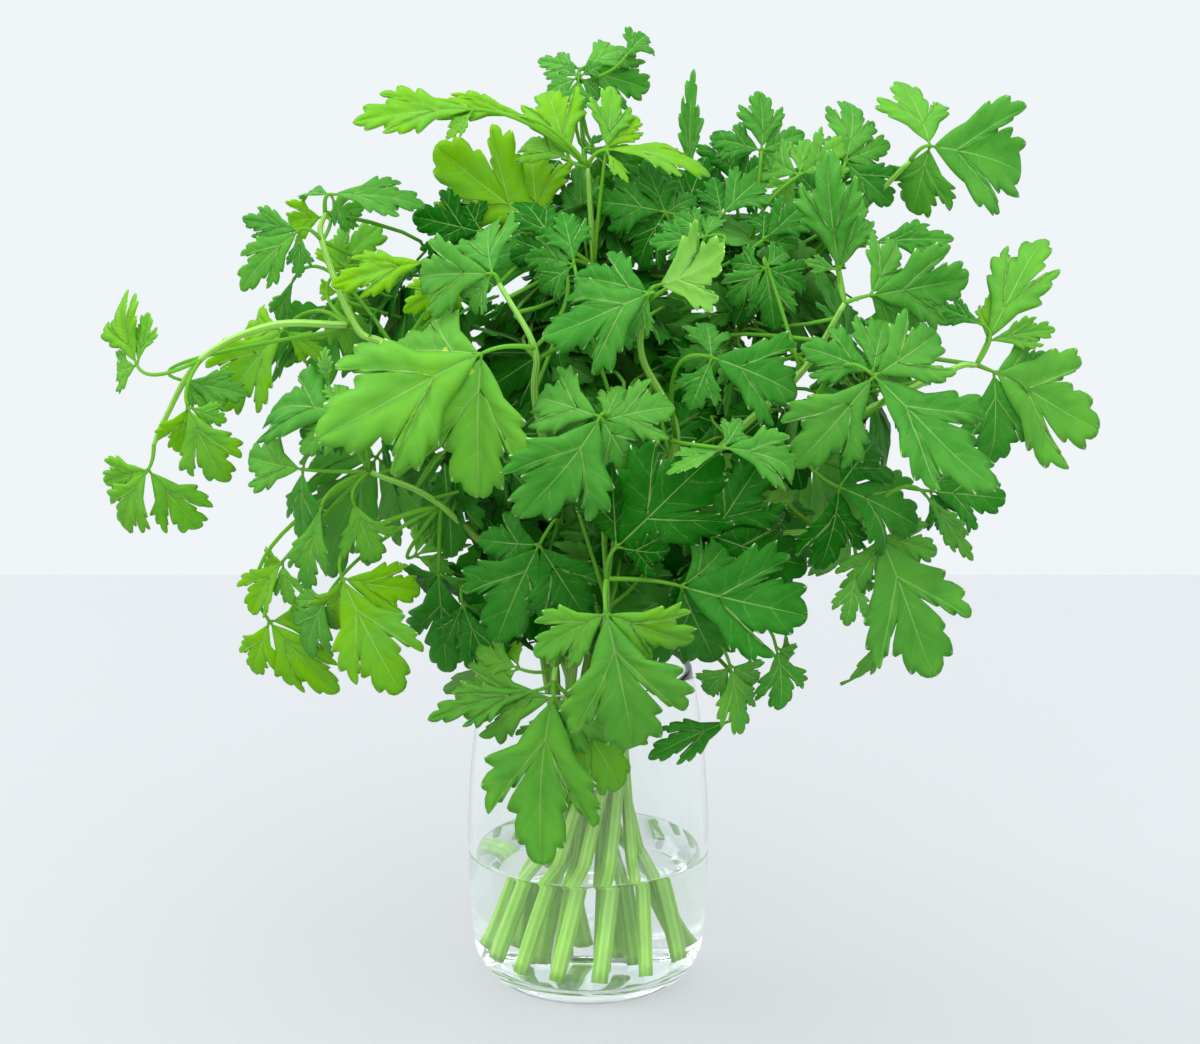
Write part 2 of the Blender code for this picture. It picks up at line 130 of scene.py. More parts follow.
# the branch that leaves the arch: its route and its leaves
archBranch = ([
    (-77, -29, 234), (-102, -25, 233), (-125, -20, 221), (-138, -16, 200), (-142, -15, 191)], [
    (2, (-146, -20, 219), 318, (322, 8), 27, ((-72, 0.7), (34, 0.6)), 0.88, 0.8),
    (2, (-129, -28, 207), 158, (345, 0), 28, ((-40, 0.45), (42, 0.75)), 0.95, 0.9),
    (4, (-144, -16, 183), 215, (350, 10), 27, ((-70, 1.1), (40, 0.8)), 0.86, 0.8),
    (0, (-100, 2, 226), 220, (330, 25), 33, ((-98, 0.45), (52, 0.75)), 0.92, 0.95),
])


# small array helpers
def unit(vectors):
    return vectors / np.maximum(np.linalg.norm(vectors, axis=-1, keepdims=True), 1e-12)


def bend(start, middle, end, t):
    # quadratic curve: start, pulled towards middle, ending at end
    t = np.asarray(t, float)[:, None]
    start, middle, end = (np.array(point) for point in (start, middle, end))
    return (1 - t) ** 2 * start + 2 * t * (1 - t) * middle + t**2 * end


def smoothPath(knots, steps):
    # Catmull-Rom curve through the knots, all stretches at once
    k = np.vstack([2 * knots[0] - knots[1], knots, 2 * knots[-1] - knots[-2]])
    t = (np.arange(steps) / steps)[None, :, None]
    a, b, c, d = (k[i:len(k) - 3 + i, None, :] for i in range(4))
    curve = 0.5 * (2 * b + (c - a) * t + (2 * a - 5 * b + 4 * c - d) * t**2
                   + (3 * b - a - 3 * c + d) * t**3)
    return np.vstack([curve.reshape(-1, 3), knots[-1]])


def gridTriangles(rows, columns, wrap=False):
    # two triangles for each cell of a rows x columns grid of vertices
    cells = columns if wrap else columns - 1
    r, c = np.meshgrid(np.arange(rows - 1), np.arange(cells), indexing="ij")
    a = r * columns + c
    b = r * columns + (c + 1) % columns
    quad = np.stack([a, b, b + columns, a + columns], axis=-1).reshape(-1, 4)
    return np.vstack([quad[:, [0, 1, 2]], quad[:, [0, 2, 3]]])


def closedRings(rings, around):
    # a stack of rings as a closed shell: of the two points after them, one closes each end
    first, last, end = rings * around, rings * around + 1, (rings - 1) * around
    k = np.arange(around)
    after = (k + 1) % around
    low = np.stack([np.full(around, first), after, k], axis=-1)
    high = np.stack([np.full(around, last), end + k, end + after], axis=-1)
    return np.vstack([gridTriangles(rings, around, wrap=True), low, high])


def joinShells(shells):
    # several shells as one: triangle numbers move on past the vertices before them
    starts = np.cumsum([0] + [len(s["points"]) for s in shells[:-1]])
    joined = {"tris": np.vstack([s["tris"] + n for s, n in zip(shells, starts)])}
    for key in shells[0]:
        if key != "tris":
            joined[key] = np.concatenate([s[key] for s in shells])
    return joined


def addObject(name, data):
    made = bpy.data.objects.new(name, data)
    bpy.context.scene.collection.objects.link(made)
    return made


def makePiece(name, shell, material, body="root"):
    # puts the arrays into a mesh: points, triangles, corner UV maps and point values
    mesh = bpy.data.meshes.new(name)
    tris = shell["tris"].astype(np.int32)
    mesh.vertices.add(len(shell["points"]))
    mesh.vertices.foreach_set("co", shell["points"].astype(np.float32).ravel())
    mesh.loops.add(tris.size)
    mesh.loops.foreach_set("vertex_index", tris.ravel())
    mesh.polygons.add(len(tris))
    mesh.polygons.foreach_set("loop_start", np.arange(0, tris.size, 3, dtype=np.int32))
    mesh.polygons.foreach_set("loop_total", np.full(len(tris), 3, np.int32))
    for key, value in shell.items():
        if key.startswith("uv_"):
            layer = mesh.uv_layers.new(name=key[3:])
            layer.data.foreach_set("uv", value.astype(np.float32).ravel())
        elif key not in ("points", "tris"):
            values = mesh.attributes.new(key, "FLOAT", "POINT")
            values.data.foreach_set("value", value.astype(np.float32))
    mesh.update(calc_edges=True)
    mesh.validate()
    mesh.shade_smooth()
    piece = addObject(name, mesh)
    mesh.materials.append(material)
    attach(piece, body)
    return piece


# node tools
def newMaterial(name):
    material = bpy.data.materials.new(name)
    material.use_nodes = True
    tree = material.node_tree
    return material, tree, tree.nodes["Principled BSDF"]


def setValues(made, **values):
    # a node's own settings or its sockets; in a socket's name _ stands for a space
    for key, value in values.items():
        if key in made.bl_rna.properties:
            setattr(made, key, value)
            continue
        socket = made.inputs[key.replace("_", " ")]
        socket.default_value = (*value, 1.0) if socket.type == "RGBA" else value


def node(tree, kind, **values):
    made = tree.nodes.new(kind)
    setValues(made, **values)
    return made


def mathNode(tree, operation, first, second=0.0):
    made = node(tree, "ShaderNodeMath", operation=operation)
    for socket, value in zip(made.inputs, (first, second)):
        if isinstance(value, (int, float)):
            socket.default_value = value
        else:
            tree.links.new(value, socket)
    return made.outputs[0]


def times(tree, first, second):
    return mathNode(tree, "MULTIPLY", first, second)


def softStep(tree, value, low, high):
    # 0 below low and 1 above high, smooth between; low may be the larger one
    start, end = (0.0, 1.0) if low < high else (1.0, 0.0)
    made = node(tree, "ShaderNodeMapRange", interpolation_type="SMOOTHSTEP", clamp=True,
                From_Min=min(low, high), From_Max=max(low, high), To_Min=start, To_Max=end)
    tree.links.new(value, made.inputs["Value"])
    return made.outputs["Result"]


def mixColors(tree, factor, first, second):
    made = node(tree, "ShaderNodeMix", data_type="RGBA")
    # sockets 6, 7 and output 2 are the colour ones
    for socket, value in zip([made.inputs[k] for k in (0, 6, 7)], (factor, first, second)):
        if isinstance(value, (int, float)):
            socket.default_value = value
        elif isinstance(value, tuple):
            socket.default_value = (*value, 1.0)
        else:
            tree.links.new(value, socket)
    return made.outputs[2]


def mixShaders(tree, factor, first, second):
    # what the material shows: the first shader at factor 0, the second at 1
    made = node(tree, "ShaderNodeMixShader")
    if isinstance(factor, float):
        made.inputs[0].default_value = factor
    else:
        tree.links.new(factor, made.inputs[0])
    tree.links.new(first.outputs[0], made.inputs[1])
    tree.links.new(second.outputs[0], made.inputs[2])
    tree.links.new(made.outputs[0], tree.nodes["Material Output"].inputs[0])


def newGroup(name, inputs, outputs):
    group = bpy.data.node_groups.new(name, "ShaderNodeTree")
    for label, kind in inputs:
        group.interface.new_socket(label, in_out="INPUT", socket_type=kind)
    for label, kind in outputs:
        group.interface.new_socket(label, in_out="OUTPUT", socket_type=kind)
    return group, group.nodes.new("NodeGroupInput"), group.nodes.new("NodeGroupOutput")


def placeGroup(tree, group):
    made = tree.nodes.new("ShaderNodeGroup")
    made.node_tree = group
    return made


# effects that materials share or can share
veinMarks = {
    "wobbleScale": 420.0, "wobble": 0.20, "netScale": 620.0,
    # each mark fades from nothing to full between these distances
    "main": (0.34, 0.14), "side": (0.24, 0.05), "net": (0.12, 0.01),
    "sideFade": 0.07, "leastSide": 0.25,  # side veins thin out away from the rib
    "roomForSide": (0.7, 2.2),  # and where they would stand too close
    "netRelief": 0.22, "sideRelief": 0.6,
}


def makeVeinGroup():
    # Veins holds (side vein phase, millimetres between side veins);
    # Ribs holds (millimetres from the rib, the rib's width)
    form = veinMarks
    group, enter, leave = newGroup(
        "leafVeins",
        [("Veins", "NodeSocketVector"), ("Ribs", "NodeSocketVector")],
        [("Main", "NodeSocketFloat"), ("Side", "NodeSocketFloat"), ("Net", "NodeSocketFloat"),
         ("Relief", "NodeSocketFloat")])
    split = node(group, "ShaderNodeSeparateXYZ")
    group.links.new(enter.outputs["Veins"], split.inputs[0])
    rib = node(group, "ShaderNodeSeparateXYZ")
    group.links.new(enter.outputs["Ribs"], rib.inputs[0])
    where = node(group, "ShaderNodeTexCoord")
    wobble = node(group, "ShaderNodeTexNoise", Scale=form["wobbleScale"], Detail=2.0)
    group.links.new(where.outputs["Object"], wobble.inputs["Vector"])
    drift = times(group, mathNode(group, "SUBTRACT", wobble.outputs[0], 0.5), form["wobble"])
    phase = mathNode(group, "ADD", split.outputs[0], drift)
    toSide = times(group, mathNode(group, "PINGPONG", phase, 0.5), split.outputs[1])
    toMain = mathNode(group, "DIVIDE", rib.outputs[0], rib.outputs[1])
    main = softStep(group, toMain, *form["main"])
    side = softStep(group, toSide, *form["side"])
    fade = mathNode(group, "SUBTRACT", 1.0, times(group, rib.outputs[0], form["sideFade"]))
    side = times(group, side, mathNode(group, "MAXIMUM", fade, form["leastSide"]))
    side = times(group, side, softStep(group, split.outputs[1], *form["roomForSide"]))
    cells = node(group, "ShaderNodeTexVoronoi", feature="DISTANCE_TO_EDGE", Scale=form["netScale"])
    group.links.new(where.outputs["Object"], cells.inputs["Vector"])
    net = softStep(group, cells.outputs["Distance"], *form["net"])
    relief = mathNode(group, "ADD", times(group, net, form["netRelief"]),
                      mathNode(group, "MAXIMUM", main, times(group, side, form["sideRelief"])))
    for label, value in (("Main", main), ("Side", side), ("Net", net), ("Relief", relief)):
        group.links.new(value, leave.inputs[label])
    return group


mottleForm = {"lowest": 0.65, "range": 0.7, "detail": 3.0, "roughness": 0.55}


def makeMottleGroup():
    # slow light and dark drift over a grown surface: lowest + range * noise, so about 1 on average
    form = mottleForm
    group, enter, leave = newGroup("growthMottle", [("Scale", "NodeSocketFloat")],
                                   [("Value", "NodeSocketFloat")])
    where = node(group, "ShaderNodeTexCoord")
    noise = node(group, "ShaderNodeTexNoise", Detail=form["detail"], Roughness=form["roughness"])
    group.links.new(where.outputs["Object"], noise.inputs["Vector"])
    group.links.new(enter.outputs["Scale"], noise.inputs["Scale"])
    drift = mathNode(group, "ADD", times(group, noise.outputs[0], form["range"]), form["lowest"])
    group.links.new(drift, leave.inputs["Value"])
    return group


spotForm = {"ring": (0.16, 0.08), "middle": (0.06, 0.02)}


def makeSpotGroup():
    # small round blemishes, each a pale ring round a brown middle, on the cells above Share
    group, enter, leave = newGroup(
        "leafSpots", [("Scale", "NodeSocketFloat"), ("Share", "NodeSocketFloat")],
        [("Ring", "NodeSocketFloat"), ("Middle", "NodeSocketFloat")])
    where = node(group, "ShaderNodeTexCoord")
    cells = node(group, "ShaderNodeTexVoronoi")
    group.links.new(where.outputs["Object"], cells.inputs["Vector"])
    group.links.new(enter.outputs["Scale"], cells.inputs["Scale"])
    pick = node(group, "ShaderNodeSeparateColor")
    group.links.new(cells.outputs["Color"], pick.inputs[0])
    chosen = mathNode(group, "GREATER_THAN", pick.outputs[0], enter.outputs["Share"])
    for label, key in (("Ring", "ring"), ("Middle", "middle")):
        mark = softStep(group, cells.outputs["Distance"], *spotForm[key])
        group.links.new(times(group, mark, chosen), leave.inputs[label])
    return group


veinGroup = makeVeinGroup()
mottleGroup = makeMottleGroup()
spotGroup = makeSpotGroup()

# leaf material
leafLook = {
    # the face's colour by tone; the darkest stop holds painted shade, as it was set to leaves
    # standing in shadow, and the middle stops carry extra blue as a painted bluish sheen
    "tones": ((0.0, (0.003, 0.118, 0.000)), (0.3, (0.034, 0.222, 0.020)),
              (0.55, (0.093, 0.326, 0.044)), (0.8, (0.146, 0.415, 0.040)),
              (1.0, (0.185, 0.435, 0.003))),
    # colour of the light that has come through the blade, by the same tones
    "glow": ((0.0, (0.025, 0.380, 0.001)), (0.5, (0.190, 0.640, 0.004)),
             (1.0, (0.430, 0.820, 0.005))),
    "vein": (0.36, 0.60, 0.18),
    "underside": (0.27, 0.52, 0.14),
    "tip": (0.86, 0.90, 0.66),
    "stem": (0.155, 0.400, 0.035),
    # how much of each of those colours shows
    "marks": (("Net", 0.03), ("Side", 0.17), ("Main", 0.58)),
    "undersideShare": 0.42, "stemShare": 0.8, "tipStart": 0.62, "tipFull": 0.97,
    "mottleScale": 60.0, "mottleTone": 0.8,
    "spots": (("Ring", (0.55, 0.68, 0.10)), ("Middle", (0.30, 0.20, 0.04))),
    "spotScale": 95.0, "spotShare": 0.45,
    "roughUnderside": 0.20, "roughMottle": 0.42, "ior": 1.38, "gloss": 0.09,
    "relief": 0.30, "reliefDepth": 0.0003,
    "throughLight": 0.42, "glowShare": 0.75,
}


def toneRamp(tree, value, stops):
    ramp = node(tree, "ShaderNodeValToRGB")
    while len(ramp.color_ramp.elements) < len(stops):
        ramp.color_ramp.elements.new(0.5)
    for element, (place, color) in zip(ramp.color_ramp.elements, stops):
        element.position = place
        element.color = (*color, 1.0)
    tree.links.new(value, ramp.inputs[0])
    return ramp.outputs[0]


def makeLeafMaterial():
    look = leafLook
    material, tree, shader = newMaterial("parsleyLeaf")
    marks = placeGroup(tree, veinGroup)
    for uvMap, socket in (("veins", "Veins"), ("ribs", "Ribs")):
        tree.links.new(node(tree, "ShaderNodeUVMap", uv_map=uvMap).outputs[0], marks.inputs[socket])
    value = {key: node(tree, "ShaderNodeAttribute", attribute_name=key).outputs["Fac"]
             for key in ("tone", "under", "tip", "stem", "spots")}
    mottle = placeGroup(tree, mottleGroup)
    setValues(mottle, Scale=look["mottleScale"])
    drift = times(tree, mathNode(tree, "SUBTRACT", mottle.outputs[0], 1.0), look["mottleTone"])
    tone = mathNode(tree, "ADD", value["tone"], drift)
    face = toneRamp(tree, tone, look["tones"])
    glow = toneRamp(tree, tone, look["glow"])
    blade = mathNode(tree, "SUBTRACT", 1.0, value["stem"])
    for mark, strength in look["marks"]:
        amount = times(tree, times(tree, marks.outputs[mark], strength), blade)
        face = mixColors(tree, amount, face, look["vein"])
    under = times(tree, value["under"], look["undersideShare"])
    face = mixColors(tree, under, face, look["underside"])
    spots = placeGroup(tree, spotGroup)
    setValues(spots, Scale=look["spotScale"], Share=look["spotShare"])
    for mark, color in look["spots"]:
        face = mixColors(tree, times(tree, spots.outputs[mark], value["spots"]), face, color)
    tip = softStep(tree, value["tip"], look["tipStart"], look["tipFull"])
    face = mixColors(tree, tip, face, look["tip"])
    face = mixColors(tree, times(tree, value["stem"], look["stemShare"]), face, look["stem"])
    tree.links.new(face, shader.inputs["Base Color"])
    rough = mathNode(tree, "ADD", times(tree, value["under"], look["roughUnderside"]),
                     times(tree, mottle.outputs[0], look["roughMottle"]))
    tree.links.new(rough, shader.inputs["Roughness"])
    setValues(shader, IOR=look["ior"], Specular_IOR_Level=look["gloss"])
    relief = node(tree, "ShaderNodeBump", Strength=look["relief"], Distance=look["reliefDepth"],
                  invert=True)
    tree.links.new(times(tree, marks.outputs["Relief"], blade), relief.inputs["Height"])
    tree.links.new(relief.outputs[0], shader.inputs["Normal"])
    through = node(tree, "ShaderNodeBsdfTranslucent")
    tree.links.new(mixColors(tree, look["glowShare"], face, glow), through.inputs["Color"])
    mixShaders(tree, look["throughLight"], shader, through)
    return material


# stalk material
stalkLook = {
    "deep": (0.095, 0.290, 0.022), "pale": (0.275, 0.530, 0.055), "rib": (0.400, 0.640, 0.160),
    "cut": (0.640, 0.780, 0.380), "shade": (0.160, 0.420, 0.035),
    "ribShare": 0.5, "ribEdge": (0.36, 0.02), "shadeShare": 0.4,
    "mottleScale": 70.0, "fibreScale": (9.0, 0.3, 1.0), "relief": 0.3, "reliefDepth": 0.0003,
    "roughness": 0.36, "ior": 1.4,
    "inside": 0.3, "insideSpread": (0.35, 1.0, 0.10), "insideDepth": 0.002,
}


def makeStalkMaterial():
    look = stalkLook
    material, tree, shader = newMaterial("ribbedStalk")
    ribs = node(tree, "ShaderNodeUVMap", uv_map="veins")
    split = node(tree, "ShaderNodeSeparateXYZ")
    tree.links.new(ribs.outputs[0], split.inputs[0])
    ridge = softStep(tree, mathNode(tree, "PINGPONG", split.outputs[0], 0.5), *look["ribEdge"])
    mottle = placeGroup(tree, mottleGroup)
    setValues(mottle, Scale=look["mottleScale"])
    fibre = node(tree, "ShaderNodeTexNoise", Scale=1.0, Detail=3.0)
    stretch = node(tree, "ShaderNodeMapping", Scale=look["fibreScale"])
    tree.links.new(ribs.outputs[0], stretch.inputs["Vector"])
    tree.links.new(stretch.outputs[0], fibre.inputs["Vector"])
    tone = node(tree, "ShaderNodeAttribute", attribute_name="tone")
    cut = node(tree, "ShaderNodeAttribute", attribute_name="tip")
    green = mixColors(tree, tone.outputs["Fac"], look["deep"], look["pale"])
    green = mixColors(tree, times(tree, ridge, look["ribShare"]), green, look["rib"])
    green = mixColors(tree, times(tree, fibre.outputs[0], look["shadeShare"]), green, look["shade"])
    shaded = node(tree, "ShaderNodeHueSaturation")
    tree.links.new(mottle.outputs[0], shaded.inputs["Value"])
    tree.links.new(green, shaded.inputs["Color"])
    face = mixColors(tree, cut.outputs["Fac"], shaded.outputs[0], look["cut"])
    tree.links.new(face, shader.inputs["Base Color"])
    setValues(shader, Roughness=look["roughness"], IOR=look["ior"],
              Subsurface_Weight=look["inside"], Subsurface_Radius=look["insideSpread"],
              Subsurface_Scale=look["insideDepth"])
    relief = node(tree, "ShaderNodeBump", Strength=look["relief"], Distance=look["reliefDepth"])
    tree.links.new(fibre.outputs[0], relief.inputs["Height"])
    tree.links.new(relief.outputs[0], shader.inputs["Normal"])
    return material


# glass and water
clearLook = {
    "glass": (0.970, 0.990, 0.984), "glassIor": 1.45,
    "water": (0.985, 1.0, 0.995), "waterIor": 1.31,
    "mostBounces": 6,  # a ray with more behind it passes straight on, so that it isn't lost inside
}


def makeClearMaterial(name, color, ior):
    # clear to lamps: a shadow ray passes straight through, so what stands inside is lit
    material, tree, shader = newMaterial(name)
    setValues(shader, Base_Color=color, Roughness=0.0, IOR=ior, Transmission_Weight=1.0)
    ray = node(tree, "ShaderNodeLightPath")
    clear = node(tree, "ShaderNodeBsdfTransparent", Color=color)
    spent = mathNode(tree, "GREATER_THAN", ray.outputs["Ray Depth"], clearLook["mostBounces"] + 0.5)
    straight = mathNode(tree, "MAXIMUM", ray.outputs["Is Shadow Ray"], spent)
    mixShaders(tree, straight, shader, clear)
    return material


leafGreen = makeLeafMaterial()
stalkGreen = makeStalkMaterial()
jarGlass = makeClearMaterial("clearGlass", clearLook["glass"], clearLook["glassIor"])
jarWater = makeClearMaterial("stillWater", clearLook["water"], clearLook["waterIor"])
print("materials made")


# stalks and stems
stalkShape = {
    "footHeight": 8.5, "neckHeight": 85.0, "exitHeight": 114.0, "footRing": 25.5,
    "footRadius": 2.35, "tipRadius": 0.75, "branchRadius": 1.25,
    "variety": (0.86, 1.08), "taper": 1.15,
    "ribs": 7, "ribDepth": 0.07, "around": 28, "branchRibs": 5, "branchAround": 20, "steps": 9,
    # tone at the foot, how much darker it is at the top and how soon, and the branch's
    "footTone": (0.6, 1.0), "darker": 0.6, "darkens": 0.8, "branchTone": (0.35, 0.6),
}
plainRibAway = 9.0  # stems carry no veins: they say that they are this many millimetres from a rib


def neckLine(ring, turn, height):
    # a straight line past the neck at distance ring, slanting round the bunch's axis
    s = stalkShape
    run = math.sqrt(s["footRing"] ** 2 - outerRing**2) / (s["neckHeight"] - s["footHeight"])
    angle = math.radians(turn) - math.atan2((s["exitHeight"] - s["neckHeight"]) * run, outerRing)
    along = (np.asarray(height) - s["neckHeight"]) * run * ring / outerRing
    out = np.array([math.cos(angle), math.sin(angle), 0.0])
    across = np.array([-math.sin(angle), math.cos(angle), 0.0])
    up = np.asarray(height)[:, None] * np.array([0.0, 0.0, 1.0])
    return out * ring + across * along[:, None] + up


def ribbedTube(path, radii, around, ribs, ribDepth, tone, squareCut=False):
    # centre(s) + radius(s) * (1 + ribs as a cosine of the angle), with closed ends
    tangent = unit(np.gradient(path, axis=0))
    axis = np.eye(3)[np.argmin(np.abs(tangent).max(axis=0))]
    side = unit(axis - tangent * (tangent @ axis)[:, None])
    other = np.cross(tangent, side)
    angle = np.arange(around) * math.tau / around
    shape = 1 + ribDepth * np.cos(ribs * angle)
    ring = side[:, None] * np.cos(angle)[:, None] + other[:, None] * np.sin(angle)[:, None]
    points = path[:, None] + ring * shape[:, None] * np.asarray(radii)[:, None, None]
    rows = len(path)
    first = rows * around
    allPoints = np.vstack([points.reshape(-1, 3), path[0], path[-1]])
    tris = closedRings(rows, around)
    length = np.concatenate([[0], np.cumsum(np.linalg.norm(np.diff(path, axis=0), axis=1))]) / mm
    u = np.concatenate([np.tile(angle / math.tau * ribs, rows), [0.0, 0.0]])
    v = np.concatenate([np.repeat(length, around), [length[0], length[-1]]])
    corner = np.stack([u[tris], v[tris]], axis=-1)
    turns = corner[..., 0]  # a triangle over the seam takes its low corners one turn on
    seam = (np.ptp(turns, axis=1) > ribs / 2)[:, None] & (turns < ribs / 2)
    corner[..., 0] = np.where(seam, turns + ribs, turns)
    zero = np.zeros(len(allPoints))
    cut = zero.copy()
    cut[first] = 1.0 if squareCut else 0.0
    tone = np.broadcast_to(tone, rows)
    return {
        "points": allPoints, "tris": tris, "uv_veins": corner.reshape(-1, 2),
        "uv_ribs": np.full((tris.size, 2), plainRibAway),
        "tone": np.concatenate([np.repeat(tone, around), tone[[0, -1]]]),
        "under": zero, "tip": cut, "stem": zero + 1.0, "spots": zero,
    }


def stalkPath(name):
    ring, turn, route, _ = sprigs[name]
    s = stalkShape
    halfway = (s["footHeight"] + s["neckHeight"]) / 2
    heights = [s["footHeight"], halfway, s["neckHeight"], s["exitHeight"]]
    knots = np.vstack([neckLine(ring, turn, heights), np.array(route, float)])
    return smoothPath(knots, s["steps"]) * mm


def makeStalks(rng):
    s = stalkShape
    for name in sprigs:
        path = stalkPath(name)
        share = np.linspace(0, 1, len(path))
        foot = s["footRadius"] * rng.uniform(*s["variety"])
        radii = (foot + (s["tipRadius"] - foot) * share ** s["taper"]) * mm
        tone = rng.uniform(*s["footTone"]) - s["darker"] * share ** s["darkens"]
        shell = ribbedTube(path, radii, s["around"], s["ribs"], s["ribDepth"], tone, squareCut=True)
        piece = makePiece("stalk_" + name + "_look", shell, stalkGreen)
        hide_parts("stalk_" + name)
    path = smoothPath(np.array(archBranch[0], float), s["steps"]) * mm
    radii = np.linspace(s["branchRadius"], s["tipRadius"], len(path)) * mm
    shell = ribbedTube(path, radii, s["branchAround"], s["branchRibs"], s["ribDepth"],
                       np.linspace(*s["branchTone"], len(path)))
    piece = makePiece("branch_arch_look", shell, stalkGreen)
    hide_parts("branch_arch")
    print("stalks grown:", len(sprigs) + 1)


# one leaflet, flat, with its length as 1: three patches a side between its veins and its edges
leafletShape = {
    "fork": 0.20,  # where the side veins leave the midrib
    "sinus": (0.37, 0.082),  # bottom of the cut between the middle and the side lobe
    "lobe": (0.74, 0.385),  # tip of the side lobe
    "tipShoulder": (0.80, 0.285), "lobeInner": (0.60, 0.262),  # how far the lobes' edges swell
    "shoulder": (0.27, 0.200), "lobeOuter": (0.47, 0.415), "base": 0.55,
    "baseWidth": 0.008, "basePull": 0.45, "cutPull": 0.03, "lobePull": (0.66, 0.52),
    "toothDepth": 0.074, "innerTeeth": 0.45,
    "pace": 1.5,  # how much closer the rows stand near the fork than near the tip
    # side vein phase over the cut, then over the base: start, middle, end, and where the middle is
    "cutPhase": (0.6, 0.12), "basePhase": (-1.7, -1.0, 0.0), "baseMiddle": 0.45,
}
# the teeth lean forward; along an edge they start small, grow, and shrink again towards the tip
toothForm = {"gap": 0.12, "spread": 0.8, "lean": 0.40, "first": 0.08, "growth": 2.0,
             "largest": 1.2, "shrink": 0.5}
patchForm = {"bow": 0.022, "fullBow": 0.08, "openRows": 4, "swell": 0.7, "ribTaper": 0.7,
             "ribWidth": 0.6, "ribWidens": 60}  # a leaflet this many mm longer has ribs 1 mm wider
fineGrid = {"base": 3, "wedge": 4, "teeth": 3, "across": 4, "along": (0.0, 0.28, 0.58, 0.86, 1.0),
            "height": (0.06, 0.56, 0.92, 1.16, 0.80), "phase": (0.12, 0.42, 0.72, 1.0, 1.06)}
coarseGrid = {"base": 1, "wedge": 1, "teeth": 3, "across": 1, "along": (0.0, 0.55, 1.0),
              "height": (0.1, 1.0, 0.9), "phase": (0.12, 0.70, 1.04)}


def toothedEdge(grid, start, middle, end, depths, outward):
    # a quadratic curve pushed out along its normal by a slanting tooth on each of its stretches
    form = toothForm
    teeth, along = grid["teeth"], np.array(grid["along"])
    k = np.repeat(np.arange(teeth), len(along))
    t = (k + (1 - form["gap"]) * np.tile(along, teeth)) / (teeth - form["gap"])
    t = t ** form["spread"]
    line = bend(start, middle, end, t)
    tangent = unit(np.gradient(line, axis=0))
    normal = np.stack([-tangent[:, 1], tangent[:, 0]], axis=-1) * outward
    size = form["largest"] - form["shrink"] * t
    grow = np.repeat(depths, len(along)) * size * np.tile(grid["height"], teeth)
    grow[-len(along):] *= np.linspace(1, 0, len(along))
    grow *= np.minimum(1.0, form["first"] + form["growth"] * t)
    grow[0] = 0.0
    pushed = line + normal * grow[:, None] + tangent * (grow * form["lean"])[:, None]
    pushed[-1] = end
    return pushed, k + np.tile(grid["phase"], teeth)


def leafletPatches(grid, p):
    # p is one side's numbers; each patch is its vein line, its edge line and the side vein phase
    wedge, base = grid["wedge"], grid["base"]
    fork, tip = np.array([p["fork"], 0.0]), [1.0, 0.0]
    sinus, lobe, shoulder = (np.array(p[key]) for key in ("sinus", "lobe", "shoulder"))
    cut = bend(fork, (fork + sinus) / 2 + [p["cutPull"], 0.0], sinus, np.arange(wedge) / wedge)
    innerDepths = p["depths"][1] * p["innerTeeth"]
    tipEdge, phase = toothedEdge(grid, sinus, p["tipShoulder"], tip, p["depths"][0], 1)
    innerEdge, _ = toothedEdge(grid, sinus, p["lobeInner"], lobe, innerDepths, -1)
    outerEdge, _ = toothedEdge(grid, shoulder, p["lobeOuter"], lobe, p["depths"][2], 1)
    count = wedge + len(tipEdge)
    s = (np.arange(count) / (count - 1)) ** p["pace"]
    midrib = bend(fork, (fork + tip) / 2, tip, s)
    lobeVein = bend(fork, lobe * p["lobePull"], lobe, s)
    cutPhase = np.concatenate([np.linspace(*p["cutPhase"], wedge, endpoint=False), phase])
    steps = base + wedge
    baseLine = bend([0.0, p["baseWidth"]], shoulder * [p["basePull"], p["base"]], shoulder,
                    np.arange(steps) / steps)
    stem = bend([0.0, 0.0], fork / 2, fork, np.arange(base) / base)
    basePhase = np.interp(np.arange(steps), [0, steps * p["baseMiddle"], steps], p["basePhase"])
    return (
        (midrib, np.vstack([cut, tipEdge]), cutPhase),
        (lobeVein, np.vstack([cut, innerEdge]), cutPhase),
        (np.vstack([stem, lobeVein]), np.vstack([baseLine, outerEdge]),
         np.concatenate([basePhase, phase])),
    )


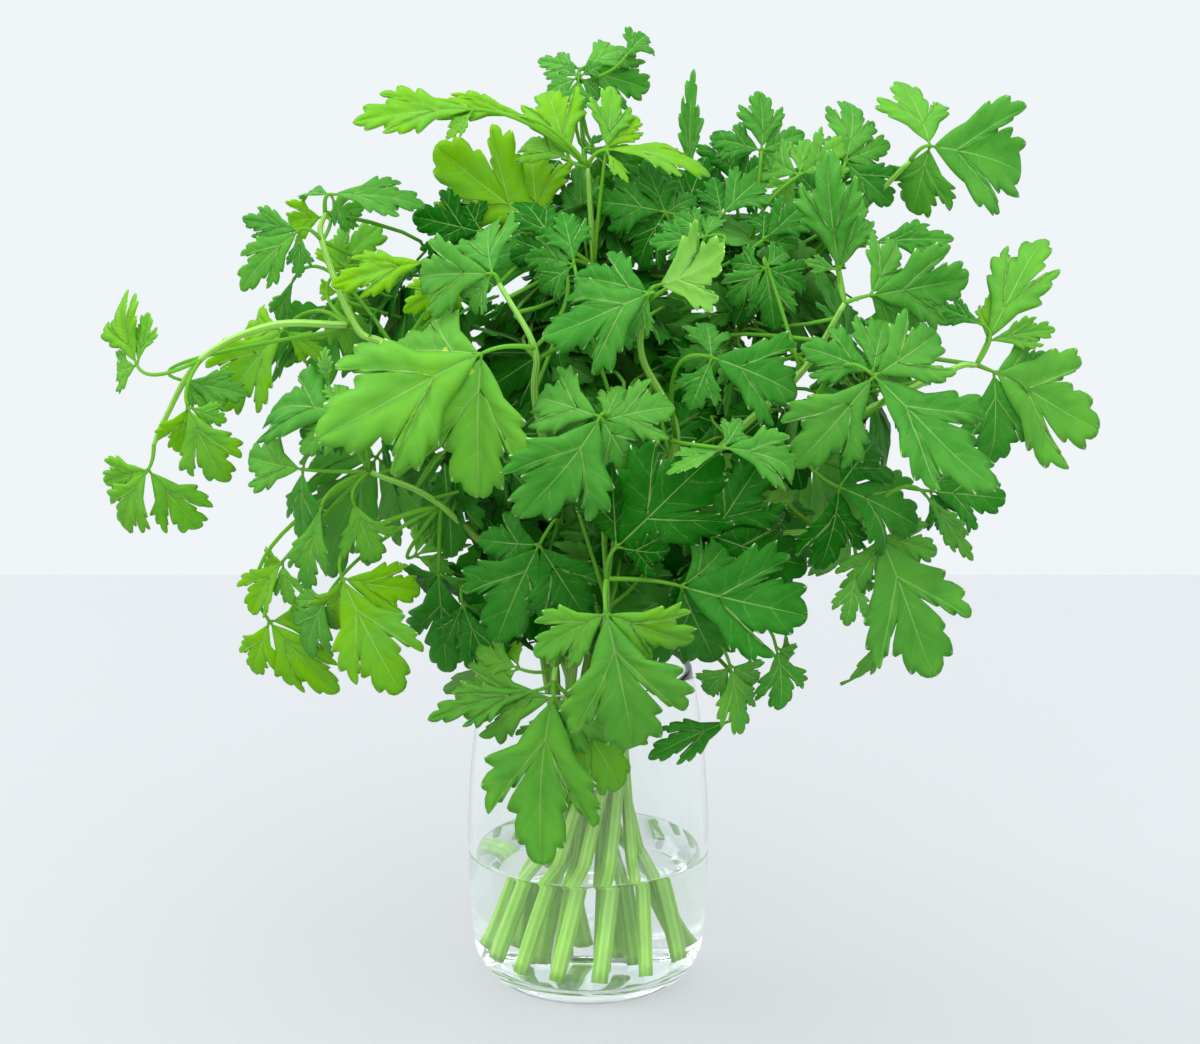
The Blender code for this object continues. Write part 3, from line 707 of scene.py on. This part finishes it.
def patchPoints(grid, number, vein, edge, phase):
    # straight lines across from vein to edge, bowed a little where they are long enough;
    # also each point's distances in the blade
    form = patchForm
    v = np.arange(grid["across"] + 1) / grid["across"]
    rows = len(vein)
    row = np.arange(rows)
    tangent = unit(np.gradient(vein, axis=0))
    slack = np.minimum(1.0, np.linalg.norm(edge - vein, axis=-1) / form["fullBow"])[:, None, None]
    bow = -form["bow"] * slack * np.sin(math.pi * v)[None, :, None] * tangent[:, None]
    flat = vein[:, None] * (1 - v)[:, None] + edge[:, None] * v[:, None] + bow
    offset = flat - vein[:, None]
    ribAway = np.abs(tangent[:, None, 0] * offset[..., 1] - tangent[:, None, 1] * offset[..., 0])
    pace = np.gradient(flat, axis=0) / np.gradient(phase)[:, None, None]
    across = unit(edge - vein + 1e-9)[:, None]
    spacing = np.abs(across[..., 0] * pace[..., 1] - across[..., 1] * pace[..., 0])
    # over the cut the dome is still rising at the border, as the next patch carries it on
    pastCut = np.clip((row - grid["wedge"]) / form["openRows"], 0, 1)[:, None]
    whole = 1.0 if number == 2 else 0.5 + 0.5 * pastCut
    swell = np.sin(math.pi * row / (rows - 1))[:, None] ** form["swell"]
    dome = swell * np.sin(math.pi * v * whole)
    quilt = swell * np.sin(math.pi * phase)[:, None] ** 2 * np.sin(math.pi * v)
    tip = (np.abs(phase - np.round(phase)) < 1e-6)[:, None] & (phase > 0.5)[:, None] & (v > 0.99)
    ribWidth = 1.0 - form["ribTaper"] * (row / (rows - 1))[:, None]
    fields = {"phase": phase[:, None], "spacing": spacing, "ribAway": ribAway, "ribWidth": ribWidth,
              "dome": dome, "quilt": quilt, "tip": tip}
    found = {key: np.broadcast_to(value, flat.shape[:2]).astype(float).ravel()
             for key, value in fields.items()}
    found["flat"] = flat.reshape(-1, 2)
    return found


def leafletPoints(grid, halves):
    parts = []
    for sign, p in zip((1, -1), halves):
        for number, patch in enumerate(leafletPatches(grid, p)):
            part = patchPoints(grid, number, *patch)
            part["flat"] = part["flat"] * [1, sign]
            parts.append(part)
    return {key: np.concatenate([part[key] for part in parts]) for key in parts[0]}


def plainHalf(grid):
    p = dict(leafletShape)
    p["depths"] = np.full((3, grid["teeth"]), p["toothDepth"])
    return p


def leafletLayout(grid):
    # triangles of the six patches, with vertices that fall together made one, and the open border
    half = plainHalf(grid)
    flat = leafletPoints(grid, (half, half))["flat"]
    rounded = np.round(flat, 6) + 0.0  # adding 0 turns -0 into 0
    _, first, merged = np.unique(rounded, axis=0, return_index=True, return_inverse=True)
    merged = merged.reshape(-1)
    across = grid["across"] + 1
    tris, start = [], 0
    for side in (0, 1):
        for number, patch in enumerate(leafletPatches(grid, half)):
            block = gridTriangles(len(patch[0]), across) + start
            tris.append(block if (number == 1) == (side == 1) else block[:, ::-1])
            start += len(patch[0]) * across
    corners = np.vstack(tris)
    faces = merged[corners]
    whole = (faces != np.roll(faces, 1, axis=1)).all(axis=1)
    faces, corners = faces[whole], corners[whole]
    edges = np.concatenate([faces[:, [0, 1]], faces[:, [1, 2]], faces[:, [2, 0]]]).tolist()
    there = {tuple(edge) for edge in edges}
    border = np.array([edge for edge in edges if (edge[1], edge[0]) not in there])
    return {"grid": grid, "first": first, "faces": faces, "corners": corners, "border": border,
            "marks": float(grid is fineGrid)}


fineLayout = leafletLayout(fineGrid)
coarseLayout = leafletLayout(coarseGrid)
for layout in (fineLayout, coarseLayout):
    print("leaflet layout:", len(layout["faces"]), "faces,", len(layout["border"]), "border edges")


# how much one leaflet differs from the next: single numbers are deviations, pairs are ranges
leafletVariety = {
    "along": 0.018, "aside": 0.05, "cut": (-0.08, 0.10), "cutWidens": 1.6, "base": (0.46, 0.72),
    "teeth": (0.55, 1.35), "fork": (0.19, 0.28), "broad": (0.93, 1.12),
}


def variedHalf(rng, grid, broad, narrow):
    # the plain half with its points moved a little, scaled across by broad and by narrow
    vary = leafletVariety
    p = plainHalf(grid)
    for key in ("sinus", "lobe", "tipShoulder", "lobeInner", "shoulder", "lobeOuter"):
        a, b = leafletShape[key]
        p[key] = (a + rng.normal(0, vary["along"]),
                  b * broad * narrow * (1 + rng.normal(0, vary["aside"])))
    cut = rng.uniform(*vary["cut"])
    p["sinus"] = (p["sinus"][0] + cut, p["sinus"][1] * (1 + cut * vary["cutWidens"]))
    p["base"] = rng.uniform(*vary["base"])
    teeth = rng.uniform(*vary["teeth"], (3, grid["teeth"]))
    p["depths"] = p["toothDepth"] * teeth * (0.5 + 0.5 * narrow)
    return p


bladeForm = {
    "thickness": 0.28 * mm, "fold": 0.16, "arch": (0.05, 0.55), "droop": 0.44,
    "dome": 0.026, "domeVariety": (0.4, 1.6), "quilt": 0.012,
    "ripple": 0.025, "waves": (13, 9), "waveStart": (0, 6), "rippleFrom": 0.4, "mostRipple": 1.2,
    "lift": 0.28, "liftFrom": 0.1, "tipBend": (-0.7, 0.45), "tipFrom": 0.5,
    "sweep": 0.06, "twist": 0.22,
}


def bentBlade(rng, g, a, b, droop, fold):
    # rise over the flat blade: fold * |b| - arch * b**2 + domes between the veins + ripples at the
    # edge + each half's own lift + the tip's bend; then swept, twisted, and rolled along an arc
    form = bladeForm
    side = np.abs(b)
    rise = form["fold"] * fold * side - rng.uniform(*form["arch"]) * b**2
    dome = form["dome"] * rng.uniform(*form["domeVariety"])
    rise += dome * g["dome"] + form["quilt"] * g["quilt"]
    unlike, alike = (np.sin(count * a + rng.uniform(*form["waveStart"])) for count in form["waves"])
    strength = np.minimum(side / form["rippleFrom"], form["mostRipple"]) ** 1.5
    rise += form["ripple"] * (unlike * np.sign(b) + alike) * strength
    lift = np.where(b > 0, rng.normal(0, form["lift"]), rng.normal(0, form["lift"]))
    rise += lift * np.maximum(side - form["liftFrom"], 0) * a
    rise += rng.uniform(*form["tipBend"]) * np.maximum(a - form["tipFrom"], 0) ** 2
    b = b + rng.normal(0, form["sweep"]) * a**2
    twist = rng.normal(0, form["twist"]) * a
    c, s = np.cos(twist), np.sin(twist)
    b, rise = b * c - rise * s, b * s + rise * c
    curl = form["droop"] * droop
    x = np.sin(curl * a) / curl + rise * np.sin(curl * a)
    z = (np.cos(curl * a) - 1) / curl + rise * np.cos(curl * a)
    return np.stack([x, b, z], axis=-1)


def leafletShell(rng, layout, base, axes, length, tone, droop, fold, narrow, spots):
    # the bent blade's two faces are set off along its normals and joined round the border
    fork, broad = rng.uniform(*leafletVariety["fork"]), rng.uniform(*leafletVariety["broad"])
    halves = [variedHalf(rng, layout["grid"], broad, narrow) for _ in range(2)]
    for half in halves:
        half["fork"] = fork
    g = leafletPoints(layout["grid"], halves)
    first, faces = layout["first"], layout["faces"]
    kept = {key: value[first] for key, value in g.items()}
    local = bentBlade(rng, kept, kept["flat"][:, 0], kept["flat"][:, 1], droop, fold)
    points = base + length * (local @ np.stack(axes))
    one, two, three = (points[faces[:, corner]] for corner in range(3))
    spread = np.cross(two - one, three - one)
    normals = np.zeros_like(points)
    for corner in range(3):
        np.add.at(normals, faces[:, corner], spread)
    normals = unit(normals) * bladeForm["thickness"] / 2
    n = len(points)
    i, j = layout["border"].T
    rim = np.vstack([np.stack([j, i, i + n], axis=-1), np.stack([j, i + n, j + n], axis=-1)])
    top = layout["corners"]
    pick = np.vstack([top, top[:, ::-1], first[np.where(rim >= n, rim - n, rim)]])
    lengthMm = length / mm
    sideVeins = np.stack([g["phase"], g["spacing"] * lengthMm], axis=-1)
    widest = patchForm["ribWidth"] + lengthMm / patchForm["ribWidens"]
    ribs = np.stack([g["ribAway"] * lengthMm, g["ribWidth"] * widest], axis=-1)
    zero = np.zeros(2 * n)
    return {
        "points": np.vstack([points + normals, points - normals]),
        "tris": np.vstack([faces, faces[:, ::-1] + n, rim]),
        "uv_veins": sideVeins[pick].reshape(-1, 2), "uv_ribs": ribs[pick].reshape(-1, 2),
        "tone": zero + tone, "under": np.repeat([0.0, 1.0], n),
        "tip": np.tile(kept["tip"] * layout["marks"], 2), "stem": zero, "spots": zero + spots,
    }


# a whole leaf: its stem, hub and leaflets
leafForm = {
    "stemRadius": 0.66, "hubRadius": 0.52, "stemSteps": 14, "stemAround": 10, "stemRibDepth": 0.06,
    "coarseSteps": 6, "coarseAround": 5, "stemRibs": 5, "stemPull": 0.4, "stemFlare": 1.15,
    # stems are thicker on long leaves: the first number + the second * length / usualLength
    "thickness": (0.75, 0.35), "usualLength": 45 * mm,
    # a leaflet's own short stalk, and how far it runs into the leaflet
    "leafletStalk": 1.6, "stalkRadii": (0.55, 0.32), "stalkSteps": 5, "stalkAround": 8,
    "stalkRibs": 4, "stalkRibDepth": 0.05, "stalkInside": 0.05, "sideUnder": 0.25,
    "sideDrop": -0.27,  # side leaflets fall away by this angle, in radians
    "roll": 0.14, "pitch": (-0.04, 0.12), "toneVariety": 0.07,
    "droop": (0.5, 1.5), "fold": (0.2, 1.4),
}


def leafAxes(clock, faces):
    turn, tip = math.radians(faces[0]), math.radians(faces[1])
    level = math.cos(tip)
    normal = np.array([math.sin(turn) * level, -math.cos(turn) * level, math.sin(tip)])
    heading = np.array([math.sin(math.radians(clock)), 0.0, math.cos(math.radians(clock))])
    heading = unit(heading - normal * (heading @ normal))
    return heading, np.cross(heading, normal), normal


def turned(axes, angle, roll, pitch):
    # turns the axes in the leaf's plane, then tips them up or down, then rolls them on the midrib
    heading, across, normal = axes
    c, s = math.cos(angle), math.sin(angle)
    heading, across = heading * c + across * s, across * c - heading * s
    c, s = math.cos(pitch), math.sin(pitch)
    heading, normal = heading * c + normal * s, normal * c - heading * s
    c, s = math.cos(roll), math.sin(roll)
    return heading, across * c + normal * s, normal * c - across * s


def leafShell(rng, layout, growsFrom, hub, axes, length, sideLeaflets, tone, narrow=1.0, spots=0.0):
    # a stem that arrives along the leaf's heading, then the middle leaflet and the side ones
    fine = layout is fineLayout
    form = leafForm
    reach = np.linalg.norm(hub - growsFrom)
    steps = form["stemSteps"] if fine else form["coarseSteps"]
    path = bend(growsFrom, hub - axes[0] * reach * form["stemPull"], hub, np.linspace(0, 1, steps))
    least, growth = form["thickness"]
    thick = form["stemRadius"] * (least + growth * length / form["usualLength"])
    radii = np.linspace(thick * form["stemFlare"], form["hubRadius"], steps) * mm
    around = form["stemAround"] if fine else form["coarseAround"]
    ribDepth = form["stemRibDepth"] if fine else 0.0
    shells = [ribbedTube(path, radii, around, form["stemRibs"], ribDepth, tone)]
    plan = [(0.0, 1.0)] + [(math.radians(angle), size) for angle, size in sideLeaflets]
    for k, (angle, size) in enumerate(plan):
        drop = form["sideDrop"] if k else 0.0
        own = turned(axes, angle, rng.normal(0, form["roll"]), drop + rng.normal(*form["pitch"]))
        start = hub + (own[0] * form["leafletStalk"] - own[2] * form["sideUnder"] * k) * mm
        if fine:
            inside = start + own[0] * length * size * form["stalkInside"]
            stalk = np.linspace(hub, inside, form["stalkSteps"])
            radii = np.linspace(*form["stalkRadii"], len(stalk)) * mm
            shells.append(ribbedTube(stalk, radii, form["stalkAround"], form["stalkRibs"],
                                     form["stalkRibDepth"], tone))
        ownTone = float(np.clip(tone + rng.normal(0, form["toneVariety"]), 0, 1))
        droop, fold = rng.uniform(*form["droop"]), rng.uniform(*form["fold"])
        shells.append(leafletShell(rng, layout, start, own, length * size, ownTone, droop, fold,
                                   narrow, spots))
    return joinShells(shells)


def rowShell(rng, route, row, spots=0.0):
    # one leaf as its row says
    fork, hub, clock, faces, length, sideLeaflets, tone, *broad = row
    growsFrom, hub = np.array(route[fork], float) * mm, np.array(hub, float) * mm
    return leafShell(rng, fineLayout, growsFrom, hub, leafAxes(clock, faces), length * mm,
                     sideLeaflets, tone, *broad, spots=spots)


def makeLeaves(rng):
    plans = [(name, sprig[2], sprig[3]) for name, sprig in sprigs.items()]
    plans.append(("arch_branch", archBranch[0], archBranch[1]))
    count = 0
    for name, route, rows in plans:
        for k, row in enumerate(rows, start=1):
            spots = 1.0 if name == "left_big" else 0.0
            shell = rowShell(rng, route, row, spots)
            piece = makePiece(f"leaf_{name}_{k}_look", shell, leafGreen)
            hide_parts(f"leaf_{name}_{k}")
            count += 1
    print("leaves grown:", count)


# smaller leaves between the large ones, in the same rows, each by the sprig that it grows from
pair = ((-70, 0.8), (70, 0.8))
tight = ((-48, 0.62), (48, 0.62))
star = ((-125, 0.6), (-62, 0.85), (62, 0.85), (122, 0.65))
smallLeaves = {
    "top": [(2, (-19, -18, 299), 297, (0, 50), 37, (), 0.9, 0.45),
            (2, (-6, -16, 286), 345, (0, 25), 29, ((-44, 0.75),), 0.9, 0.8),
            (1, (-34, -12, 261), 285, (10, 20), 22, tight, 0.1, 1.1),
            (2, (0, -10, 288), 98, (0, 30), 13, ((-60, 0.5),), 0.4, 0.6),
            (0, (-1, -4, 258), 352, (0, 15), 26, ((-40, 0.5),), 0.45, 0.6),
            (1, (6, -18, 289), 8, (0, 15), 20, ((32, 0.8),), 0.9, 0.85)],
    "crown": [(1, (33, 38, 266), 5, (10, 0), 39, (), 0.55, 0.26),
              (1, (25, -20, 269), 283, (0, 30), 23, star, 0.25),
              (2, (-3, 20, 307), 185, (0, 20), 13, star, 0.45),
              (2, (12, 20, 313), 30, (0, 30), 14, (), 0.5),
              (1, (43, -15, 267), 40, (0, 20), 21, ((-48, 0.7), (-95, 0.4)), 0.4),
              (1, (56, -30, 262), 48, (0, 20), 18, tight, 0.25),
              (1, (30, 0, 262), 20, (0, 20), 24, pair, 0.1)],
    "arch": [(1, (-51, -42, 257), 260, (0, 30), 29, (), 1.0, 0.6),
             (1, (-41, -46, 252), 240, (0, 15), 18, tight, 1.0, 0.8),
             (2, (-83, -8, 246), 35, (350, 15), 22, ((40, 0.6), (-45, 0.6)), 0.95),
             (2, (-81, -6, 240), 172, (350, 10), 21, ((-40, 0.55), (100, 0.5)), 0.85, 0.85),
             (3, (-85, -12, 266), 265, (350, 10), 13, ((170, 0.9),), 0.85, 1.2),
             (1, (-95, -12, 246), 214, (340, 10), 22, (), 0.5, 0.4),
             (2, (-132, -12, 212), 104, (340, 20), 20, ((40, 0.5),), 0.7, 0.8)],
    "left_big": [(3, (-29, -76, 260), 278, (350, 35), 29, ((-50, 0.5), (70, 0.85)), 0.5, 0.9),
                 (2, (-10, -40, 262), 330, (0, 20), 20, pair, 0.15)],
    "front_high": [(2, (5, -98, 219), 73, (0, 20), 22, tight, 0.45),
                   (1, (-4, -62, 260), 350, (0, 20), 17, ((-60, 0.9), (-110, 0.8)), 0.35)],
    "front_right": [(3, (21, -80, 257), 74, (175, -18), 26, (), 0.85, 1.25),
                    (3, (37, -36, 264), 256, (0, 30), 16, star, 0.3),
                    (0, (39, -72, 176), 108, (10, 20), 36, pair, 0.1, 1.1)],
    "front_middle": [(0, (45, -74, 134), 168, (15, 10), 22, tight, 0.55),
                     (0, (60, -64, 137), 172, (20, 10), 19, ((-50, 0.5),), 0.5),
                     (0, (56, -55, 177), 332, (10, 20), 27, ((-56, 0.8), (54, 0.75)), 0.75, 1.1)],
    "rim_front": [(0, (-22, -58, 128), 292, (350, 20), 15, tight, 0.8)],
    "right_high": [(1, (88, -76, 229), 295, (10, 25), 22, ((82, 1.0),), 0.45),
                   (1, (110, -40, 182), 92, (15, 25), 26, tight, 0.3),
                   (3, (127, -30, 234), 297, (340, 20), 19, (), 0.3, 0.6),
                   (1, (79, -66, 190), 108, (20, 25), 34, pair, 0.15)],
    "right_top": [(2, (56, -45, 256), 172, (5, 30), 19, star, 0.35),
                  (3, (83, -10, 284), 18, (10, 20), 22, ((-52, 0.5), (50, 0.75), (112, 1.0)), 0.45),
                  (3, (91, -25, 260), 80, (10, 30), 26, (), 0.4, 0.6)],
    "far_right": [(1, (56, -8, 287), 4, (0, 20), 18, ((-72, 0.95), (56, 0.95), (120, 0.5)), 0.4),
                  (1, (68, -14, 280), 58, (0, 15), 18, ((-48, 0.8), (-120, 0.9), (170, 0.7)), 0.65),
                  (1, (48, 15, 272), 350, (0, 20), 20, star, 0.1),
                  (2, (78, 0, 268), 20, (0, 20), 20, star, 0.25)],
    "right_low": [(2, (85, -58, 160), 192, (10, 10), 16, ((-60, 0.6),), 0.6, 0.8),
                  (2, (106, -62, 187), 136, (20, 10), 32, (), 0.6, 0.3)],
    "left_low": [(0, (-40, -50, 147), 159, (350, 10), 28, tight, 0.2, 0.7),
                 (2, (-84, -60, 182), 193, (340, 10), 29, (), 0.6, 0.55),
                 (2, (-74, -60, 184), 162, (350, 5), 22, (), 0.7, 1.1),
                 (2, (-99, -35, 157), 221, (330, 20), 21, tight, 0.85),
                 (1, (-84, -50, 149), 210, (340, 10), 22, tight, 0.7),
                 (2, (-81, -50, 217), 345, (350, 5), 13, (), 0.6, 0.4),
                 (2, (-77, -55, 207), 262, (350, 20), 15, tight, 0.15),
                 (1, (-56, -35, 159), 60, (350, 20), 22, tight, 0.7, 0.7)],
}
narrowLeaves = {
    "right_low": [(2, (97, -40, 137), 188, (30, 0), 31, (), 0.7, 0.55),
                  (0, (46, -48, 107), 244, (10, 30), 28, (), 0.35, 0.6)],
    "front_middle": [(0, (63, -58, 142), 148, (60, 0), 17, (), 0.6, 0.35)],
    "rim_front": [(2, (-16, -62, 122), 262, (350, 25), 38, ((-30, 0.4),), 0.75, 0.4)],
}


def makeSmallLeaves(rng):
    # one piece holds a sprig's small leaves
    count = 0
    for table, label in ((smallLeaves, "small"), (narrowLeaves, "narrow")):
        for name, rows in table.items():
            count += len(rows)
            shells = [rowShell(rng, sprigs[name][2], row) for row in rows]
            piece = makePiece(f"{label}_leaves_{name}", joinShells(shells), leafGreen)
    print("small leaves grown:", count)


# the crown's inner and back leaves, placed by chance on each upper stalk
innerLeaves = {
    "perSprig": 12, "lowest": 118, "length": (20, 36), "reach": (8, 30), "tone": (0.0, 0.45),
    "frontLimit": (-45, 190, 0.75),  # nearest y, and above this height how much it backs off
    "middle": (8, 0, 208), "spread": (104, 82, 92),  # the crown's centre and half sizes
    "pullIn": 0.6,  # a hub beyond it stands only this much of the way out from the middle
    "outLift": 0.15, "outScatter": 0.55, "faceLift": 0.55, "faceScatter": 0.3,
    "headOut": 0.7, "headDrop": 0.25, "headScatter": 0.6, "sideAngle": (55, 80), "sideSize": 0.8,
}


def makeInnerLeaves(rng):
    # each grows from a point of its stalk out from the crown's middle; its face looks out and up
    form = innerLeaves
    nearest, above, slope = form["frontLimit"]
    middle, spread = np.array(form["middle"], float), np.array(form["spread"], float)
    for name in sprigs:
        path = stalkPath(name) / mm
        path = path[path[:, 2] > form["lowest"]]
        shells = []
        while len(shells) < form["perSprig"]:
            growsFrom = path[rng.integers(len(path))]
            out = (growsFrom - middle) / spread + rng.normal(0, form["outScatter"], 3)
            out = unit(out + [0, 0, form["outLift"]])
            hub = growsFrom + out * rng.uniform(*form["reach"])
            length = rng.uniform(*form["length"])
            if np.linalg.norm((hub + out * length * 0.5 - middle) / spread) > 1.0:
                hub = middle + (hub - middle) * form["pullIn"]
            hub[1] = max(hub[1], nearest + max(0.0, hub[2] - above) * slope)
            face = unit((hub - middle) / spread) + [0, 0, form["faceLift"]]
            face = unit(face + rng.normal(0, form["faceScatter"], 3))
            heading = out * form["headOut"] + rng.normal(0, form["headScatter"], 3)
            heading = unit(heading + [0, 0, -form["headDrop"]])
            heading = unit(heading - face * (heading @ face))
            axes = heading, np.cross(heading, face), face
            sideLeaflets = [(side * rng.uniform(*form["sideAngle"]), form["sideSize"])
                            for side in (-1, 1)]
            shells.append(leafShell(rng, coarseLayout, growsFrom * mm, hub * mm, axes, length * mm,
                                    sideLeaflets, rng.uniform(*form["tone"])))
        piece = makePiece("inner_leaves_" + name, joinShells(shells), leafGreen)
    print("inner leaves grown:", form["perSprig"] * len(sprigs))


# jar and water, in metres, with the same sizes as the frame's
jarForm = {
    "height": 0.111, "widest": 0.041, "widestAt": 0.048, "narrowing": 0.003, "narrowingOver": 0.044,
    "footRadius": 0.027, "heelHeight": 0.015, "heelLift": 0.4, "wall": 0.0025, "floor": 0.006,
    "around": 128, "heelSteps": 18, "wallSteps": 26, "lipSteps": 15,
    # the pushed-up underside and the faintly domed floor inside: radius, height
    "underside": [(0.0, 0.0008), (0.012, 0.0008), (0.024, 0.0003)],
    "insideFloor": [(0.018, 0.0002), (0.0, 0.0009)],
    # the water's edge climbs by meniscus, falling off over climb, at these distances from the glass
    "waterTop": 0.046, "overlap": 0.00012, "meniscus": 0.0005, "climb": 0.0012,
    "waterRings": (0.0002, 0.0006, 0.0012, 0.002, 0.0032, 0.005, 0.009, 0.015, 0.025),
}


def barrelRadius(height):
    # widest - narrowing * (distance from the widest place, over narrowingOver)**2
    away = (height - jarForm["widestAt"]) / jarForm["narrowingOver"]
    return jarForm["widest"] - jarForm["narrowing"] * away**2


def wallLine(inset, floor, top):
    # a quarter ellipse out from the flat foot that runs into the barrel's curve, then the barrel
    form = jarForm
    heelTop = form["heelHeight"] + floor * form["heelLift"]
    angle = np.linspace(0, math.pi / 2, form["heelSteps"])
    height = floor + (heelTop - floor) * (1 - np.cos(angle))
    flat = form["footRadius"] - inset
    heel = flat + (barrelRadius(height) - inset - flat) * np.sin(angle)
    rise = np.linspace(heelTop, top, form["wallSteps"])[1:]
    return np.column_stack([np.concatenate([heel, barrelRadius(rise) - inset]),
                            np.concatenate([height, rise])])


def spunShell(profile, around):
    # the outline, from axis to axis, turned about Z: each end is one point, and the rings join up
    angle = np.arange(around) * math.tau / around
    ring = profile[1:-1]
    points = np.stack([ring[:, None, 0] * np.cos(angle), ring[:, None, 0] * np.sin(angle),
                       np.broadcast_to(ring[:, None, 1], (len(ring), around))], axis=-1)
    ends = [[0, 0, profile[0, 1]], [0, 0, profile[-1, 1]]]
    return {"points": np.vstack([points.reshape(-1, 3), ends]),
            "tris": closedRings(len(ring), around)}


def makeJar():
    # underside, outer wall up, a half-round lip, inner wall down, floor inside
    form = jarForm
    lip = form["wall"] / 2
    lipAt = form["height"] - lip
    outer = wallLine(0.0, 0.0, lipAt)
    inner = wallLine(form["wall"], form["floor"], lipAt)
    angle = np.linspace(0, math.pi, form["lipSteps"])[1:-1]
    crest = np.column_stack([outer[-1, 0] - lip + lip * np.cos(angle), lipAt + lip * np.sin(angle)])
    floor = np.array(form["insideFloor"]) + [0.0, form["floor"]]
    profile = np.vstack([form["underside"], outer, crest, inner[::-1], floor])
    piece = makePiece("jar_look", spunShell(profile, form["around"]), jarGlass)
    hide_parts("jar")


def makeWater():
    # fills the jar a hair into its wall; the surface climbs the glass by a meniscus
    form = jarForm
    side = wallLine(form["wall"] - form["overlap"], form["floor"] - form["overlap"],
                    form["waterTop"] + form["meniscus"])
    radius = side[-1, 0] - np.array(form["waterRings"])
    rise = form["meniscus"] * np.exp(-(side[-1, 0] - radius) / form["climb"])
    surface = np.column_stack([radius, form["waterTop"] + rise])
    ends = np.array([[0.0, form["floor"] - form["overlap"]], [0.0, form["waterTop"]]])
    profile = np.vstack([ends[:1], side, surface, ends[1:]])
    piece = makePiece("water_look", spunShell(profile, form["around"]), jarWater)
    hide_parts("water")
    print("jar and water turned")


seeds = {"stalks": 11, "leaves": 23, "smallLeaves": 31, "innerLeaves": 47}
makeStalks(np.random.default_rng(seeds["stalks"]))
makeLeaves(np.random.default_rng(seeds["leaves"]))
makeSmallLeaves(np.random.default_rng(seeds["smallLeaves"]))
makeInnerLeaves(np.random.default_rng(seeds["innerLeaves"]))
makeJar()
makeWater()


# floor, light and camera
stageLook = {
    "halfWidth": 4, "front": -4, "back": 0.503,  # the table ends half a metre behind the jar
    # the table glows a little, which keeps the shadow on it light
    "table": (0.158, 0.165, 0.168), "tableGlow": (0.390, 0.411, 0.424),
    "room": (0.87, 0.91, 0.94),
}
# place, power and colour of each soft lamp, and the size and aim that they share
lamps = {
    "windowLeft": ((-2.5, 0.9, 2.4), 118.0, (1.0, 0.99, 0.97)),
    "softTop": ((0.5, 0.0, 2.4), 66.0, (0.97, 0.99, 1.0)),
    "softFront": ((0.1, -2.4, 2.0), 88.0, (1.0, 1.0, 1.0)),
}
lampSize, lampAim = 3.0, (0.0, 0.0, 0.16)
view = {"distance": 1.2, "elevation": 15.0, "aim": (0.004, 0.0, 0.161), "lens": 108.0}


def setStage():
    look = stageLook
    floorMaterial, _, shader = newMaterial("paleTable")
    setValues(shader, Base_Color=look["table"], Emission_Color=look["tableGlow"],
              Emission_Strength=1.0, Roughness=0.6, Specular_IOR_Level=0.2)
    mesh = bpy.data.meshes.new("table")
    wide, front, back = look["halfWidth"], look["front"], look["back"]
    corners = [(-wide, front, 0), (wide, front, 0), (wide, back, 0), (-wide, back, 0)]
    mesh.from_pydata(corners, [], [(0, 1, 2, 3)])
    floor = addObject("table", mesh)
    mesh.materials.append(floorMaterial)
    world = bpy.data.worlds.new("softRoom")
    bpy.context.scene.world = world
    world.use_nodes = True
    background = world.node_tree.nodes["Background"]
    setValues(background, Color=look["room"], Strength=1.0)


def setLight():
    for name, (place, power, color) in lamps.items():
        data = bpy.data.lights.new(name, "AREA")
        data.shape = "RECTANGLE"
        data.size = data.size_y = lampSize
        data.energy = power
        data.color = color
        lamp = addObject(name, data)
        away = unit(np.array(place) - lampAim)
        lamp.location = place
        lamp.rotation_euler = (math.acos(away[2]), 0.0, math.atan2(away[0], -away[1]))
    print("lamps set:", len(lamps))


def setCamera():
    data = bpy.data.cameras.new("camera")
    data.lens = view["lens"]
    data.sensor_width = 36.0
    camera = addObject("camera", data)
    tilt = math.radians(view["elevation"])
    x, y, z = view["aim"]
    back, up = view["distance"] * math.cos(tilt), view["distance"] * math.sin(tilt)
    camera.location = (x, y - back, z + up)
    camera.rotation_euler = (math.radians(90.0) - tilt, 0.0, 0.0)
    bpy.context.scene.camera = camera
    bpy.context.scene.view_settings.view_transform = "Standard"


setStage()
setLight()
setCamera()
